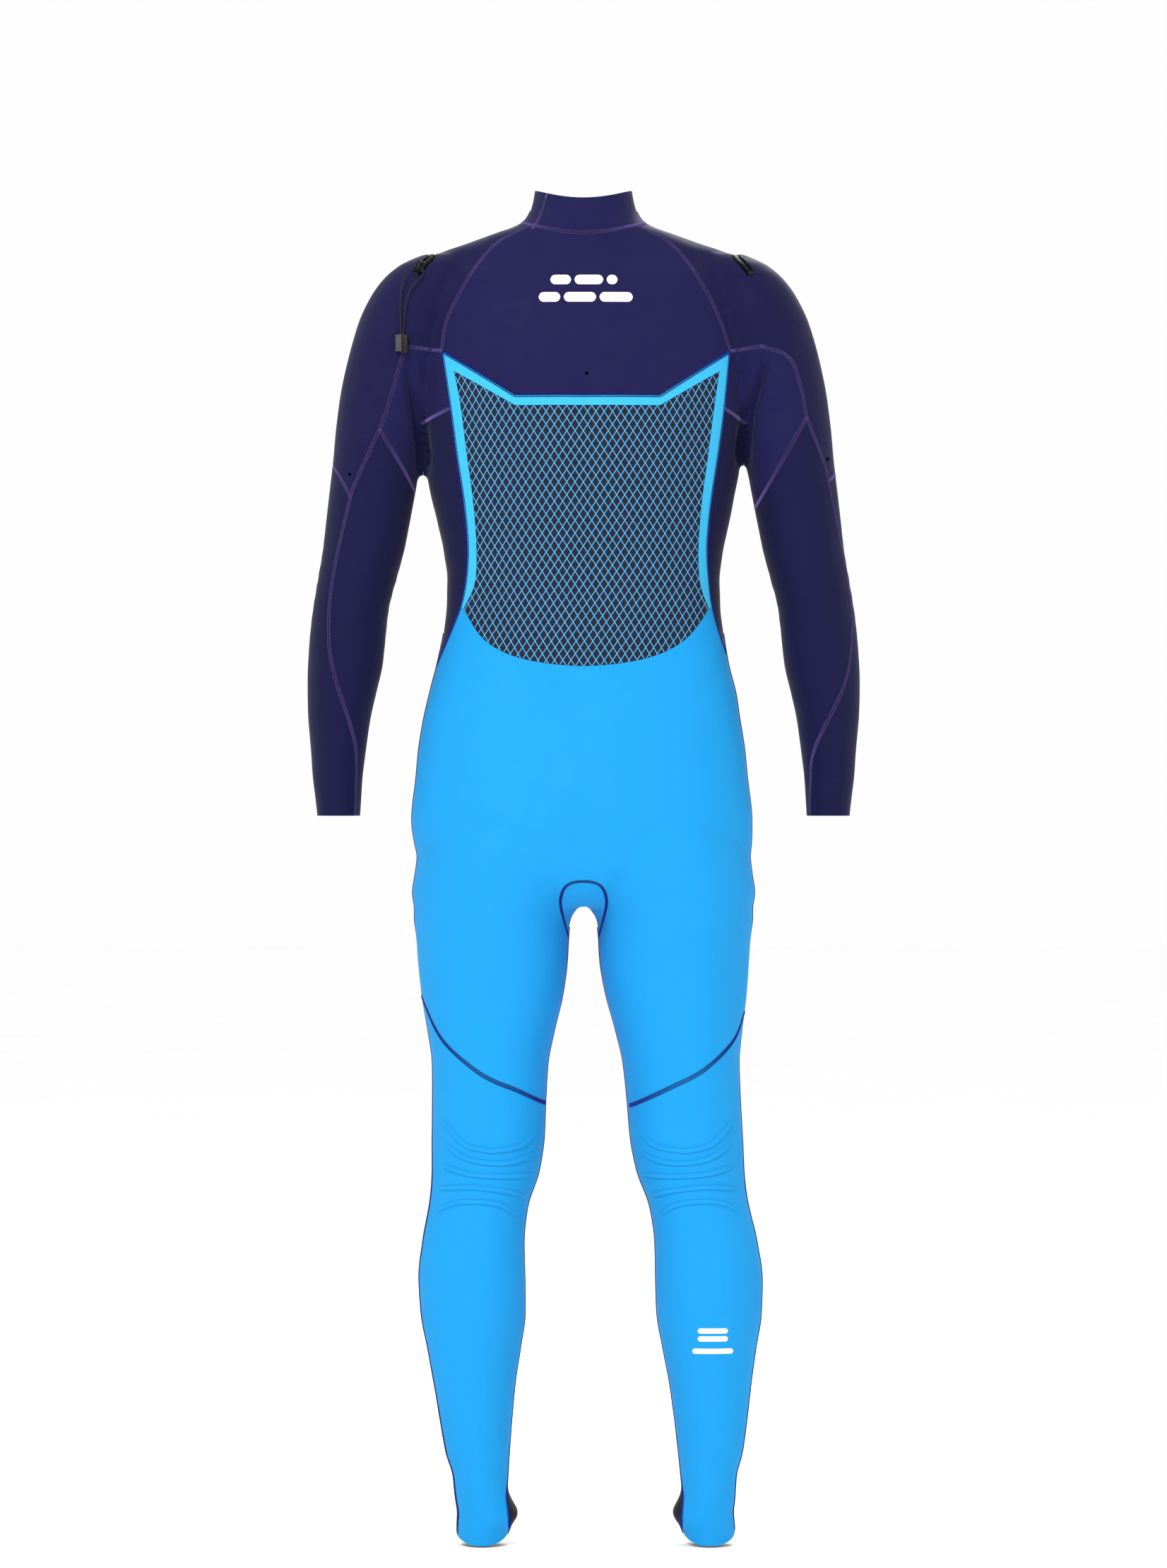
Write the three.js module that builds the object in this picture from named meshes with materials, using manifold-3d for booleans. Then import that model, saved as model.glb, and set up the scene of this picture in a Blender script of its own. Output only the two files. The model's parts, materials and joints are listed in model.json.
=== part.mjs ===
// A full-length, long-sleeved wetsuit with a shoulder-to-shoulder chest zip, in its worn shape.
// Millimetres, +Z up. The wearer faces +Y, so the suit's left side is at -X.
// Heights in the tables are above the lowest hem. The origin is the middle of the neck opening.
// The shell is one hollow body shape, cut apart along its seams; each panel is then picked out by
// a point that lies on it.
import * as THREE from 'three';
import { mergeVertices } from 'three/addons/utils/BufferGeometryUtils.js';
import Module from 'manifold-3d';

const wasm = await Module();
wasm.setup();

// ---- Driving dimensions -------------------------------------------------------------------
const COLLAR_TOP = 1531; // the collar's highest point above the lowest hem
const COLLAR_DIP = 12; // how far the collar's rim falls at the front and the back
const NEOPRENE = 3.6; // wall thickness
const SEAM_GAP = 0.9; // width of the cut between two panels
const CUFF_Z = 824; // height of the wrist openings
const HEM = { back: 2, slope: 0.32 }; // the ankle hem rises towards the front
const KNEE_Z = 427; // height of the knee's fold
const ELBOW_Z = 1083; // height of the elbow's fold
const BELOW_KNEE_Z = KNEE_Z - 70; // where the lower leg starts to swing
const BELOW_ELBOW_Z = ELBOW_Z - 55; // where the forearm starts to swing
const DRAIN_R = 1.6; // drain holes
const DEPTH = 260; // half length of a cutting wall that runs right through the suit
const ZIP = { tape: 16, teeth: 4.4, proud: 0.9, gap: 0.35, stop: 5 }; // widths, height, stop length
const SLIDER = { wide: 11, long: 15, thick: 1.8, clear: 5.5, bridge: 5, bar: 1.6, eye: 5.5 };
const CORD_D = 1.6; // the zip pull's cord
const TOGGLE = { wide: 8, thick: 5.5, long: 19, turn: -0.55, corner: 1.2 };
const SEGMENTS = { torso: 24, arm: 12, leg: 14 }; // flats around each section
const SMOOTHING = 0.3; // how far a facet may move when small ones are merged

// ---- Body shape: height, centre x, centre y, half width, half depth --------------------------
const TORSO = [
  [722, 0, -20, 60, 70],
  [740, 0, -22, 140, 100],
  [764, 0, -23, 193, 112],
  [820, -2, -26, 191, 118],
  [930, -2, -14, 179, 107],
  [995, -1, -8, 165, 98],
  [1060, 0, -5, 155, 93],
  [1095, 0, -4, 154, 93],
  [1220, -1, -5, 178, 110],
  [1290, 0, -7, 186, 116],
  [1350, 0, -11, 190, 110],
  [1400, 0, -16, 190, 94],
  [1430, 0, -18, 188, 78],
  [1458, 0, -16, 168, 58],
  [1468, 0, -14, 140, 56],
  [1480, 0, -10, 106, 58],
  [1494, 0, -5, 70, 62],
  [1510, 0, -2, 60, 61],
  [1540, 0, 0, 54, 60],
];
const ARM = [
  [800, 278, 26, 23, 28],
  [835, 278, 23, 25, 30],
  [963, 274, 8, 39, 43],
  [1027, 267, 1, 43, 48],
  [1090, 256, -4, 44.5, 49],
  [1155, 244, -7, 47.5, 52],
  [1219, 234, -10, 49.5, 56],
  [1267, 225, -12, 54, 58],
  [1315, 215, -13, 57, 61],
  [1379, 197, -15, 58, 62],
  [1430, 172, -16, 54, 54],
  [1446, 159, -16, 48, 46],
  [1458, 150, -16, 30, 28],
];
const LEG = [
  [-30, 125, -5, 33, 42],
  [40, 124, -6, 32.5, 41],
  [63, 128, -8, 32, 40],
  [143, 133, -15, 41, 46],
  [223, 133, -21, 52.5, 56],
  [290, 134, -23, 60.5, 63],
  [383, 125, -12, 56, 59],
  [423, 116, -6, 60.5, 61],
  [503, 110, -2, 64, 69],
  [583, 106, -6, 72, 79],
  [663, 103, -14, 85, 90],
  [722, 103, -20, 90.5, 98],
  [800, 100, -20, 84, 92],
];
// The legs lean to the wearer's right, and the back panel sits a little to that side:
// how far seams and legs are moved along X at some heights.
const SWAY = [[0, 14], [660, 0], [1000, 0], [1080, 4.5], [1300, 4.5], [1420, 0]];
const SHOULDER_RISE = { from: 1420, to: 1500 }; // where the shell's top faces upwards
const LEG_SWAY_BELOW = 700; // the torso hides the legs' tops, which don't lean
const RIM = { half: 56, side: 90, clear: 6, over: 60, steps: 4 }; // the collar's cut and the air over it
const HEEL_Y = -47; // where the ankle hem is lowest
const BELOW = { side: 120, depth: 80 }; // the space cut away under the ankle hems
const SLEEVE_END = { inner: 225, outer: 340, back: -80, front: 120, below: 780 }; // likewise, at a cuff
const SIDE_SEAM_FROM = { left: 112, right: 140 }; // the side seams' cuts start beyond the inner legs
const INNER_LEG = { left: -100, right: 125 }; // how far the inner leg seams' cut reaches
const SHOULDER_TOP = { neck: 58, end: 165 }; // and the shoulder tops'

// ---- Seams, as (x, height), for the half at +X where both sides are alike -----------------------
const NECK_BACK = [[80, 1497], [62, 1490], [30, 1482], [0, 1479]];
const NECK_FRONT = [[80, 1497], [62, 1490], [30, 1474], [0, 1468]];
const COLLAR_SEAM = [[36, 1545], [48, 1502], [57, 1484]];
const RAGLAN = [[59.5, 1489], [95, 1470], [119, 1443], [140, 1408], [154, 1378]];
const FRAME_TOP = [[162, 1346], [81, 1294], [0, 1294]];
const FRAME_SIDE = [
  [162, 1346], [154, 1281], [147, 1228], [139, 1174], [135, 1126],
  [137, 1089], [142, 1059], [155, 1021], [178, 965],
];
const FRAME_INNER = [
  [0, 1286], [82.5, 1286], [152, 1329], [145, 1285], [138, 1228],
  [131, 1175], [127, 1125], [128.5, 1085], [138, 1056],
];
const FRAME_FOOT = [[138, 1056], [142, 1059]];
const WAIST = [[138, 1056], [115, 1024], [86, 1006], [48, 996], [0, 992]];
const UNDERARM_LOW = [[183, 1270], [181.5, 1225]];
const SLEEVE_LEFT = {
  main: [
    [200, 1351], [217, 1292], [229, 1258], [252, 1208], [262, 1182], [282, 1094],
    [287, 1030], [281, 984], [262, 922], [257, 885], [260, 790],
  ],
  inner: [[229, 1258], [202, 1213], [186, 1180]],
  outer: [[300, 1245], [273, 1204], [262, 1182]],
};
const SLEEVE_RIGHT = {
  main: [
    [200, 1351], [231, 1338], [245, 1302], [251, 1272], [267, 1231], [276, 1201],
    [299, 1083], [303, 1030], [295, 974], [262, 902], [257, 860], [257, 790],
  ],
  inner: [[251, 1272], [213, 1205], [190, 1165]],
  outer: [[300, 1226], [276, 1201]],
};
const CROTCH = [[6, 687], [26, 690], [26, 732], [22, 742], [15, 749], [0, 751]];
const ABOVE_KNEE_BACK = [
  [192, 650], [181, 614], [161, 573], [128, 542], [104, 527], [78, 516], [47, 500], [36, 496],
];
const ABOVE_KNEE_FRONT = [[196, 560], [110, 522], [34, 505]];
// The seams between front and back halves, as (y, height).
const SIDE_SEAM = [
  [-8, 1030], [-22, 850], [-18, 720], [0, 655], [0, 480], [-16, 383],
  [-26, 283], [-22, 183], [-14, 63], [-8, -40],
];
const INNER_LEG_SEAM = [
  [-18, 692], [0, 600], [0, 480], [-12, 383], [-22, 283], [-18, 183], [-14, 66], [-32, 18], [-38, -20],
];
const SHOULDER_TOP_SEAM = [[0, 1430], [0, 1510]];
// The zip's middle line over the chest and down the back of each shoulder.
const ZIP_FRONT = [
  [0, 1330], [62, 1338], [108, 1362], [138, 1402], [158, 1434], [171, 1452], [171, 1480],
];
const ZIP_BACK = [[171, 1480], [171, 1455], [178, 1446], [188, 1433]];
const ARMHOLE_FRONT = [[147, 1420], [158, 1380]];
const DRAIN_HOLES = [[3.5, 1318, -1], [-263, 1208, -1], [275, 1226, -1]]; // x, height, facing
// The slider runs on an arc over the left shoulder: its centre, its axis and where it rests.
const ARC = { centre: [-188, -12, 1404], axis: [-0.923, 0.1, 0.371], rest: [-184.5, -61, 1438] };
// The cord's route from the toggle up through the slider's bridge and down again.
const CORD_ROUTE = [
  [-204.8, -82, 1364.4], [-205, -81.3, 1378], [-205.4, -80.2, 1394], [-205, -78.8, 1409],
  [-203, -77, 1421], [-199.5, -75, 1430.5], [-195, -73, 1437], [-190, -71.3, 1440.4],
  [-184.8, -70.5, 1439.8], [-180.6, -71.6, 1436.3], [-180.5, -74, 1431], [-185.5, -76.3, 1425.5],
  [-191.5, -78, 1419], [-195.5, -79.4, 1411], [-198.6, -80.4, 1399], [-200.8, -81.2, 1384],
  [-202.3, -82, 1364.4],
];
const TOGGLE_TOP = [-203.5, -82, 1364];

// ---- Solids ----------------------------------------------------------------------------------
function solid(geometry) {
  const bare = geometry.index ? geometry.toNonIndexed() : geometry.clone();
  bare.deleteAttribute('normal');
  bare.deleteAttribute('uv');
  const merged = mergeVertices(bare, 1e-4);
  return new wasm.Manifold(new wasm.Mesh({
    numProp: 3,
    vertProperties: merged.attributes.position.array,
    triVerts: new Uint32Array(merged.index.array),
  }));
}

// Rounded sections stacked in height: rows are [z, x, y, half width, half depth].
function loft(rows, segments) {
  const points = [];
  const faces = [];
  for (const [z, x, y, wide, deep] of rows) {
    for (let i = 0; i < segments; i++) {
      const turn = (2 * Math.PI * i) / segments;
      points.push(x + wide * Math.cos(turn), y + deep * Math.sin(turn), z);
    }
  }
  for (let row = 0; row + 1 < rows.length; row++) {
    for (let i = 0; i < segments; i++) {
      const a = row * segments + i;
      const b = row * segments + ((i + 1) % segments);
      faces.push(a, b, b + segments, a, b + segments, a + segments);
    }
  }
  const last = (rows.length - 1) * segments;
  for (let i = 1; i + 1 < segments; i++) {
    faces.push(0, i + 1, i, last, last + i, last + i + 1);
  }
  const geometry = new THREE.BufferGeometry();
  geometry.setAttribute('position', new THREE.Float32BufferAttribute(points, 3));
  geometry.setIndex(faces);
  return solid(geometry);
}

function swayAt(z) {
  const above = SWAY.findIndex(([height]) => height > z);
  if (above <= 0) return above === 0 ? SWAY[0][1] : 0;
  const [[z0, x0], [z1, x1]] = [SWAY[above - 1], SWAY[above]];
  return x0 + ((x1 - x0) * (z - z0)) / (z1 - z0);
}

// The suit's whole shape, grown by `grow`: negative for the space inside it.
function bodyShape(grow) {
  const rows = (table, side, rise) => table.map(([z, x, y, wide, deep]) => [
    z + rise(z), side * x, y, wide + grow, deep + grow,
  ]);
  const lift = (z) => (z > SHOULDER_RISE.from && z < SHOULDER_RISE.to ? grow : 0);
  const torso = rows(TORSO, 1, (z) => (z < TORSO[3][0] ? -grow : lift(z)));
  if (grow < 0) torso.push([COLLAR_TOP + 40, 0, 0, 54 + grow, 60 + grow]);
  let shape = loft(torso, SEGMENTS.torso);
  for (const side of [-1, 1]) {
    const arm = rows(ARM, side, lift);
    const leg = rows(LEG, side, () => 0).map(([z, x, ...rest]) => [
      z, x + (z < LEG_SWAY_BELOW ? swayAt(z) : 0), ...rest,
    ]);
    shape = shape.add(loft(arm, SEGMENTS.arm)).add(loft(leg, SEGMENTS.leg));
  }
  return shape;
}

// A prism whose outline is drawn as (x, height) and which runs through the suit from y0 to y1.
function prism(outline, y0 = -DEPTH, y1 = DEPTH) {
  const shape = new THREE.Shape(outline.map(([x, z]) => new THREE.Vector2(x, z)));
  const geometry = new THREE.ExtrudeGeometry(shape, { depth: y1 - y0, bevelEnabled: false });
  geometry.rotateX(Math.PI / 2);
  geometry.translate(0, y1, 0);
  return solid(geometry);
}

// The outline of a strip of that width along a line of points.
function strip(line, width) {
  const edge = (side) => line.map(([x, z], i) => {
    const before = line[Math.max(i - 1, 0)];
    const after = line[Math.min(i + 1, line.length - 1)];
    const into = new THREE.Vector2(x - before[0], z - before[1]).normalize();
    const out = new THREE.Vector2(after[0] - x, after[1] - z).normalize();
    const way = into.clone().add(out).normalize();
    const miter = Math.max(0.35, way.dot(out.lengthSq() ? out : into));
    const reach = (side * width) / 2 / miter;
    return [x - way.y * reach, z + way.x * reach];
  });
  return [...edge(1), ...edge(-1).reverse()];
}

const mirrored = (line) => line.map(([x, z]) => [-x, z]);
const swayed = (line) => line.map(([x, z]) => [x + swayAt(z), z]);
// A line for the half at +X, continued over the middle onto the half at -X.
const across = (line) => {
  const half = line[0][0] === 0 ? [...line].reverse() : line;
  return [...half, ...mirrored(half).reverse().slice(1)];
};
const backCut = (line) => prism(strip(line, SEAM_GAP), -DEPTH, 0);
const frontCut = (line) => prism(strip(line, SEAM_GAP), 0, DEPTH);
const fullCut = (line) => prism(strip(line, SEAM_GAP));

// A cut drawn as (y, height) that runs from x0 to x1.
function crossCut(line, x0, x1) {
  const turned = prism(strip(line, SEAM_GAP), -x1, -x0);
  return turned.transform([0, 1, 0, 0, -1, 0, 0, 0, 0, 0, 1, 0, 0, 0, 0, 1]);
}

const box = (x0, x1, y0, y1, z0, z1) => {
  const geometry = new THREE.BoxGeometry(x1 - x0, y1 - y0, z1 - z0);
  geometry.translate((x0 + x1) / 2, (y0 + y1) / 2, (z0 + z1) / 2);
  return solid(geometry);
};

// ---- The shell, open at the neck, wrists and ankles ---------------------------------------------
function openings() {
  const { half, side, clear, over, steps } = RIM;
  const rim = [[-side, COLLAR_TOP + over], [-side, COLLAR_TOP + clear]];
  for (let i = -steps; i <= steps; i++) {
    const x = (i / steps) * half;
    rim.push([x, COLLAR_TOP - COLLAR_DIP * (1 - (x / half) ** 2)]);
  }
  rim.push([side, COLLAR_TOP + clear], [side, COLLAR_TOP + over]);
  const hemAt = (y) => HEM.back + (y - HEEL_Y) * HEM.slope;
  const under = [
    [-BELOW.side, -BELOW.depth], [BELOW.side, -BELOW.depth],
    [BELOW.side, hemAt(BELOW.side)], [-BELOW.side, hemAt(-BELOW.side)],
  ];
  const hems = prism(under, -DEPTH, DEPTH)
    .transform([0, 1, 0, 0, -1, 0, 0, 0, 0, 0, 1, 0, 0, 0, 0, 1]);
  const end = SLEEVE_END;
  return [
    prism(rim),
    hems,
    box(-end.outer, -end.inner, end.back, end.front, end.below, CUFF_Z),
    box(end.inner, end.outer, end.back, end.front, end.below, CUFF_Z),
  ];
}

function seams() {
  const cuts = [
    backCut(across(NECK_BACK)), frontCut(across(NECK_FRONT)),
    backCut(mirrored(COLLAR_SEAM)), frontCut(COLLAR_SEAM),
    backCut(swayed(across(FRAME_TOP))), backCut(swayed(across(FRAME_INNER))),
    fullCut(swayed(across(WAIST))), fullCut(across(CROTCH)),
    frontCut([[0, 992], [0, 751]]),
    crossCut(INNER_LEG_SEAM, INNER_LEG.left, INNER_LEG.right),
  ];
  for (const side of [-1, 1]) {
    const at = (line) => (side < 0 ? mirrored(line) : line);
    const sleeve = side < 0 ? SLEEVE_LEFT : SLEEVE_RIGHT;
    const [corner] = swayed(at([FRAME_SIDE[0]]));
    const [underarm] = swayed(at([FRAME_SIDE[1]]));
    cuts.push(
      backCut([...at(RAGLAN), corner]),
      fullCut(swayed(at(FRAME_SIDE))), fullCut(swayed(at(FRAME_FOOT))),
      fullCut([corner, ...at([sleeve.main[0]])]), fullCut([underarm, ...at(UNDERARM_LOW)]),
      fullCut(at(sleeve.main)), fullCut(at(sleeve.inner)), fullCut(at(sleeve.outer)),
      fullCut(at([[210, BELOW_ELBOW_Z], [330, BELOW_ELBOW_Z]])),
      backCut(swayed(at(ABOVE_KNEE_BACK))), frontCut(swayed(at(ABOVE_KNEE_FRONT))),
      fullCut(swayed(at([[40, BELOW_KNEE_Z], [215, BELOW_KNEE_Z]]))),
      frontCut([...at(ARMHOLE_FRONT), corner]),
      side < 0 ? crossCut(SIDE_SEAM, -DEPTH, -SIDE_SEAM_FROM.left)
        : crossCut(SIDE_SEAM, SIDE_SEAM_FROM.right, DEPTH),
      side < 0 ? crossCut(SHOULDER_TOP_SEAM, -SHOULDER_TOP.end, -SHOULDER_TOP.neck)
        : crossCut(SHOULDER_TOP_SEAM, SHOULDER_TOP.neck, SHOULDER_TOP.end),
    );
  }
  return cuts;
}

// A strip along the whole zip, from the back of one shoulder over the chest to the other.
function zipStrip(width, trim = 0) {
  const [last, end] = ZIP_BACK.slice(-2);
  const long = Math.hypot(end[0] - last[0], end[1] - last[1]);
  const cut = end.map((value, i) => value - ((value - last[i]) * trim) / long);
  const back = prism(strip([...ZIP_BACK.slice(0, -1), cut], width), -DEPTH, 0);
  return prism(strip(across(ZIP_FRONT), width), 0, DEPTH).add(back).add(back.mirror([1, 0, 0]));
}

function drainHole([x, z, facing]) {
  const drill = new THREE.CylinderGeometry(DRAIN_R, DRAIN_R, DEPTH, 8);
  drill.translate(x, (facing * DEPTH) / 2, z);
  return solid(drill);
}

const inside = bodyShape(-NEOPRENE);
const shell = wasm.Manifold.difference([bodyShape(0), inside, ...openings()]);
const tapes = shell.intersect(zipStrip(ZIP.tape - 2 * ZIP.gap))
  .subtract(zipStrip(ZIP.teeth + 2 * ZIP.gap, -ZIP.tape));
const chain = bodyShape(ZIP.proud).subtract(inside);
const teeth = chain.intersect(zipStrip(ZIP.teeth, ZIP.stop));
const stops = chain.intersect(zipStrip(ZIP.teeth))
  .subtract(zipStrip(ZIP.teeth + 1, ZIP.stop - ZIP.gap));
const panels = wasm.Manifold.difference([shell, zipStrip(ZIP.tape), ...seams()]);

// ---- Scene graph ------------------------------------------------------------------------------
const FINISH = {
  navy: { color: 0x2a2857, roughness: 0.8 },
  blue: { color: 0x2db2ff, roughness: 0.8 },
  grey: { color: 0x516a83, roughness: 0.85 },
  trim: { color: 0x45c5f7, roughness: 0.75 },
  black: { color: 0x16171b, roughness: 0.85 },
  plastic: { color: 0x3a3c40, roughness: 0.5 },
};
const materials = Object.fromEntries(Object.entries(FINISH).map(([name, look]) => [
  name, new THREE.MeshStandardMaterial({ ...look, metalness: 0 }),
]));

const suit = new THREE.Group();
suit.position.z = -COLLAR_TOP;

function addNode(name, piece, finish) {
  const mesh = piece.simplify(SMOOTHING).getMesh();
  const geometry = new THREE.BufferGeometry();
  geometry.setAttribute('position', new THREE.BufferAttribute(mesh.vertProperties, 3));
  geometry.setIndex(new THREE.BufferAttribute(mesh.triVerts, 1));
  const made = new THREE.Mesh(geometry, materials[finish]);
  made.name = name;
  suit.add(made);
}

// Each panel of the suit: a point on it as (x, height), on the back or the front, and its finish.
const PANELS = {
  collar_back: [20, 1505, 'back', 'navy'],
  collar_front: [-20, 1500, 'front', 'navy'],
  back_yoke: [0, 1400, 'back', 'navy'],
  back_frame_trim: [0, 1290, 'back', 'trim'],
  back_lattice_panel: [0, 1150, 'back', 'grey'],
  entry_flap: [0, 1400, 'front', 'navy'],
  chest_panel: [0, 1200, 'front', 'navy'],
  seat_panel: [0, 900, 'back', 'blue'],
  crotch_gusset: [0, 735, 'back', 'blue'],
  shoulder_panel_left: [-190, 1380, 'back', 'navy'],
  shoulder_panel_right: [190, 1385, 'back', 'navy'],
  underarm_panel_left: [-180, 1310, 'back', 'navy'],
  underarm_panel_right: [190, 1310, 'back', 'navy'],
  side_panel_left: [-148, 1130, 'back', 'navy'],
  side_panel_right: [150, 1130, 'back', 'navy'],
  elbow_panel_inner_left: [-235, 1090, 'both', 'navy'],
  elbow_panel_inner_right: [250, 1090, 'both', 'navy'],
  elbow_panel_outer_left: [-290, 1110, 'both', 'navy'],
  elbow_panel_outer_right: [285, 1185, 'both', 'navy'],
  forearm_panel_inner_left: [-250, 950, 'both', 'navy'],
  forearm_panel_inner_right: [250, 950, 'both', 'navy'],
  forearm_panel_outer_left: [-292, 940, 'both', 'navy'],
  forearm_panel_outer_right: [300, 940, 'both', 'navy'],
  thigh_front_panel_left: [-90, 800, 'front', 'blue'],
  thigh_front_panel_right: [90, 800, 'front', 'blue'],
  knee_pad_left: [-105, 430, 'front', 'black'],
  knee_pad_right: [120, 430, 'front', 'black'],
  knee_back_panel_left: [-110, 430, 'back', 'blue'],
  knee_back_panel_right: [120, 430, 'back', 'blue'],
  shin_panel_left: [-125, 250, 'front', 'black'],
  shin_panel_right: [142, 250, 'front', 'black'],
  calf_panel_left: [-125, 250, 'back', 'blue'],
  calf_panel_right: [142, 250, 'back', 'blue'],
};
const PROBE = 3; // half size of the rod that finds a panel

function probe([x, z, half]) {
  const y0 = half === 'front' ? 25 : -DEPTH;
  const y1 = half === 'back' ? -25 : DEPTH;
  return box(x - PROBE, x + PROBE, y0, y1, z - PROBE, z + PROBE);
}

const drained = wasm.Manifold.difference([panels, ...DRAIN_HOLES.map(drainHole)]);
const loose = drained.decompose();
for (const [name, seed] of Object.entries(PANELS)) {
  const rod = probe(seed);
  const found = loose.filter((piece) => piece.intersect(rod).volume() > 1);
  if (found.length !== 1) throw new Error(`${name} was found ${found.length} times`);
  addNode(name, found[0], seed[3]);
}

// ---- Zip ----------------------------------------------------------------------------------------
const largest = (made) => made.decompose().sort((p, q) => q.volume() - p.volume());
const [tapeA, tapeB] = largest(tapes);
const low = (piece) => piece.boundingBox().min[2];
const [lowerTape, upperTape] = low(tapeA) < low(tapeB) ? [tapeA, tapeB] : [tapeB, tapeA];
addNode('zip_tape_lower', lowerTape, 'black');
addNode('zip_tape_upper', upperTape, 'black');
addNode('zip_teeth_chain', largest(teeth)[0], 'black');
const [stopA, stopB] = largest(stops);
const isLeft = (piece) => piece.boundingBox().min[0] < 0;
addNode('zip_stop_left', isLeft(stopA) ? stopA : stopB, 'plastic');
addNode('zip_stop_right', isLeft(stopA) ? stopB : stopA, 'plastic');

// The slider's own directions at rest: along the arc's axis, along its travel and away from the suit.
function sliderFrame() {
  const axis = new THREE.Vector3(...ARC.axis).normalize();
  const rest = new THREE.Vector3(...ARC.rest);
  const out = rest.clone().sub(new THREE.Vector3(...ARC.centre));
  out.addScaledVector(axis, -out.dot(axis)).normalize();
  const travel = axis.clone().cross(out);
  return new THREE.Matrix4().makeBasis(axis, travel, out).setPosition(rest);
}

function slider() {
  const { wide, long, thick, clear, bridge, bar, eye } = SLIDER;
  const top = clear + thick;
  const body = box(-wide / 2, wide / 2, -long / 2, long / 2, clear, top);
  const arch = box(-bar, bar, -long / 2, eye - bar, top - 0.1, top + bridge);
  const window = box(-bar - 1, bar + 1, -long / 2 + bar, eye - 2 * bar, top, top + bridge - bar);
  return body.add(arch.subtract(window)).transform(sliderFrame().toArray());
}

function tube(route, diameter, steps) {
  const line = new THREE.CatmullRomCurve3(route.map((point) => new THREE.Vector3(...point)));
  const section = new THREE.Shape();
  const sides = 8;
  for (let i = 0; i < sides; i++) {
    const turn = (2 * Math.PI * i) / sides;
    const [x, y] = [(diameter / 2) * Math.cos(turn), (diameter / 2) * Math.sin(turn)];
    if (i) section.lineTo(x, y);
    else section.moveTo(x, y);
  }
  return solid(new THREE.ExtrudeGeometry(section, { steps, extrudePath: line }));
}

function toggle() {
  const { wide, thick, long, turn, corner } = TOGGLE;
  const [x0, y0, cut] = [wide / 2, thick / 2, corner];
  const outline = new THREE.Shape([
    [-x0 + cut, -y0], [x0 - cut, -y0], [x0, -y0 + cut], [x0, y0 - cut],
    [x0 - cut, y0], [-x0 + cut, y0], [-x0, y0 - cut], [-x0, -y0 + cut],
  ].map(([x, y]) => new THREE.Vector2(x, y)));
  const geometry = new THREE.ExtrudeGeometry(outline, { depth: long, bevelEnabled: false });
  geometry.translate(0, 0, -long);
  geometry.rotateZ(turn);
  geometry.translate(...TOGGLE_TOP);
  return solid(geometry);
}

addNode('zip_slider', slider(), 'plastic');
addNode('zip_pull_cord', tube(CORD_ROUTE, CORD_D, 48), 'black');
addNode('zip_pull_toggle', toggle(), 'plastic');

export default suit;
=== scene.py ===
# A men's full-length chest-zip wetsuit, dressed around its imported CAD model.
# Tables are in millimetres, with heights above the lowest hem, and place() turns them into the
# frame's metres. The wearer faces +Y: the suit's left side is at -X and its back faces -Y.
import json
import math

import bpy
import numpy as np
from mathutils import Matrix, Vector
from mathutils.bvhtree import BVHTree

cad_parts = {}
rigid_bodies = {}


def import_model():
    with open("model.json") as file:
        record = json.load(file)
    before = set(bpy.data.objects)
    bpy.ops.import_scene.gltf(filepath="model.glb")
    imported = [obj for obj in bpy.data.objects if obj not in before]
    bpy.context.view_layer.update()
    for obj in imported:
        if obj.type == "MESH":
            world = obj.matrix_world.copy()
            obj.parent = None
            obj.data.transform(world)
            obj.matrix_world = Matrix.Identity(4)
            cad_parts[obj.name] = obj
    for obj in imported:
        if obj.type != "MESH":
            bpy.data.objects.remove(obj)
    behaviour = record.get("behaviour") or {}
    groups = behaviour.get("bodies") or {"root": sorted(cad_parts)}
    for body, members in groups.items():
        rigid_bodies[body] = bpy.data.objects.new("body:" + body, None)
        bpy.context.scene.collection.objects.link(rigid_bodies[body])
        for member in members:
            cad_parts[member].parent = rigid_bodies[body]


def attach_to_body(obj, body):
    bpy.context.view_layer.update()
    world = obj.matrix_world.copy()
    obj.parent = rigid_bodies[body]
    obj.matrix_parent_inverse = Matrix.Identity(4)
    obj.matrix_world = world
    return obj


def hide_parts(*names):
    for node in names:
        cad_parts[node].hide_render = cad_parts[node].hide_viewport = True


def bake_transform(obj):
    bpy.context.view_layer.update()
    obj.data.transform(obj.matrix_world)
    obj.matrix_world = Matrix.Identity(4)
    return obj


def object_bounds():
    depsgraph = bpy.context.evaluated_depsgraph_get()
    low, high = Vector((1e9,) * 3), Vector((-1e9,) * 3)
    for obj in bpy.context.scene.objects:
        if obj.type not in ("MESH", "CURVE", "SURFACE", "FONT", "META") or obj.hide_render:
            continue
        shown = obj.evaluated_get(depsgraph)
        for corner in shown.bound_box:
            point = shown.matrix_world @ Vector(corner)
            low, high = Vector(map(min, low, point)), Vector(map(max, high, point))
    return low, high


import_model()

CAD_BOX = [list(corner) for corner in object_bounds()]

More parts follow.
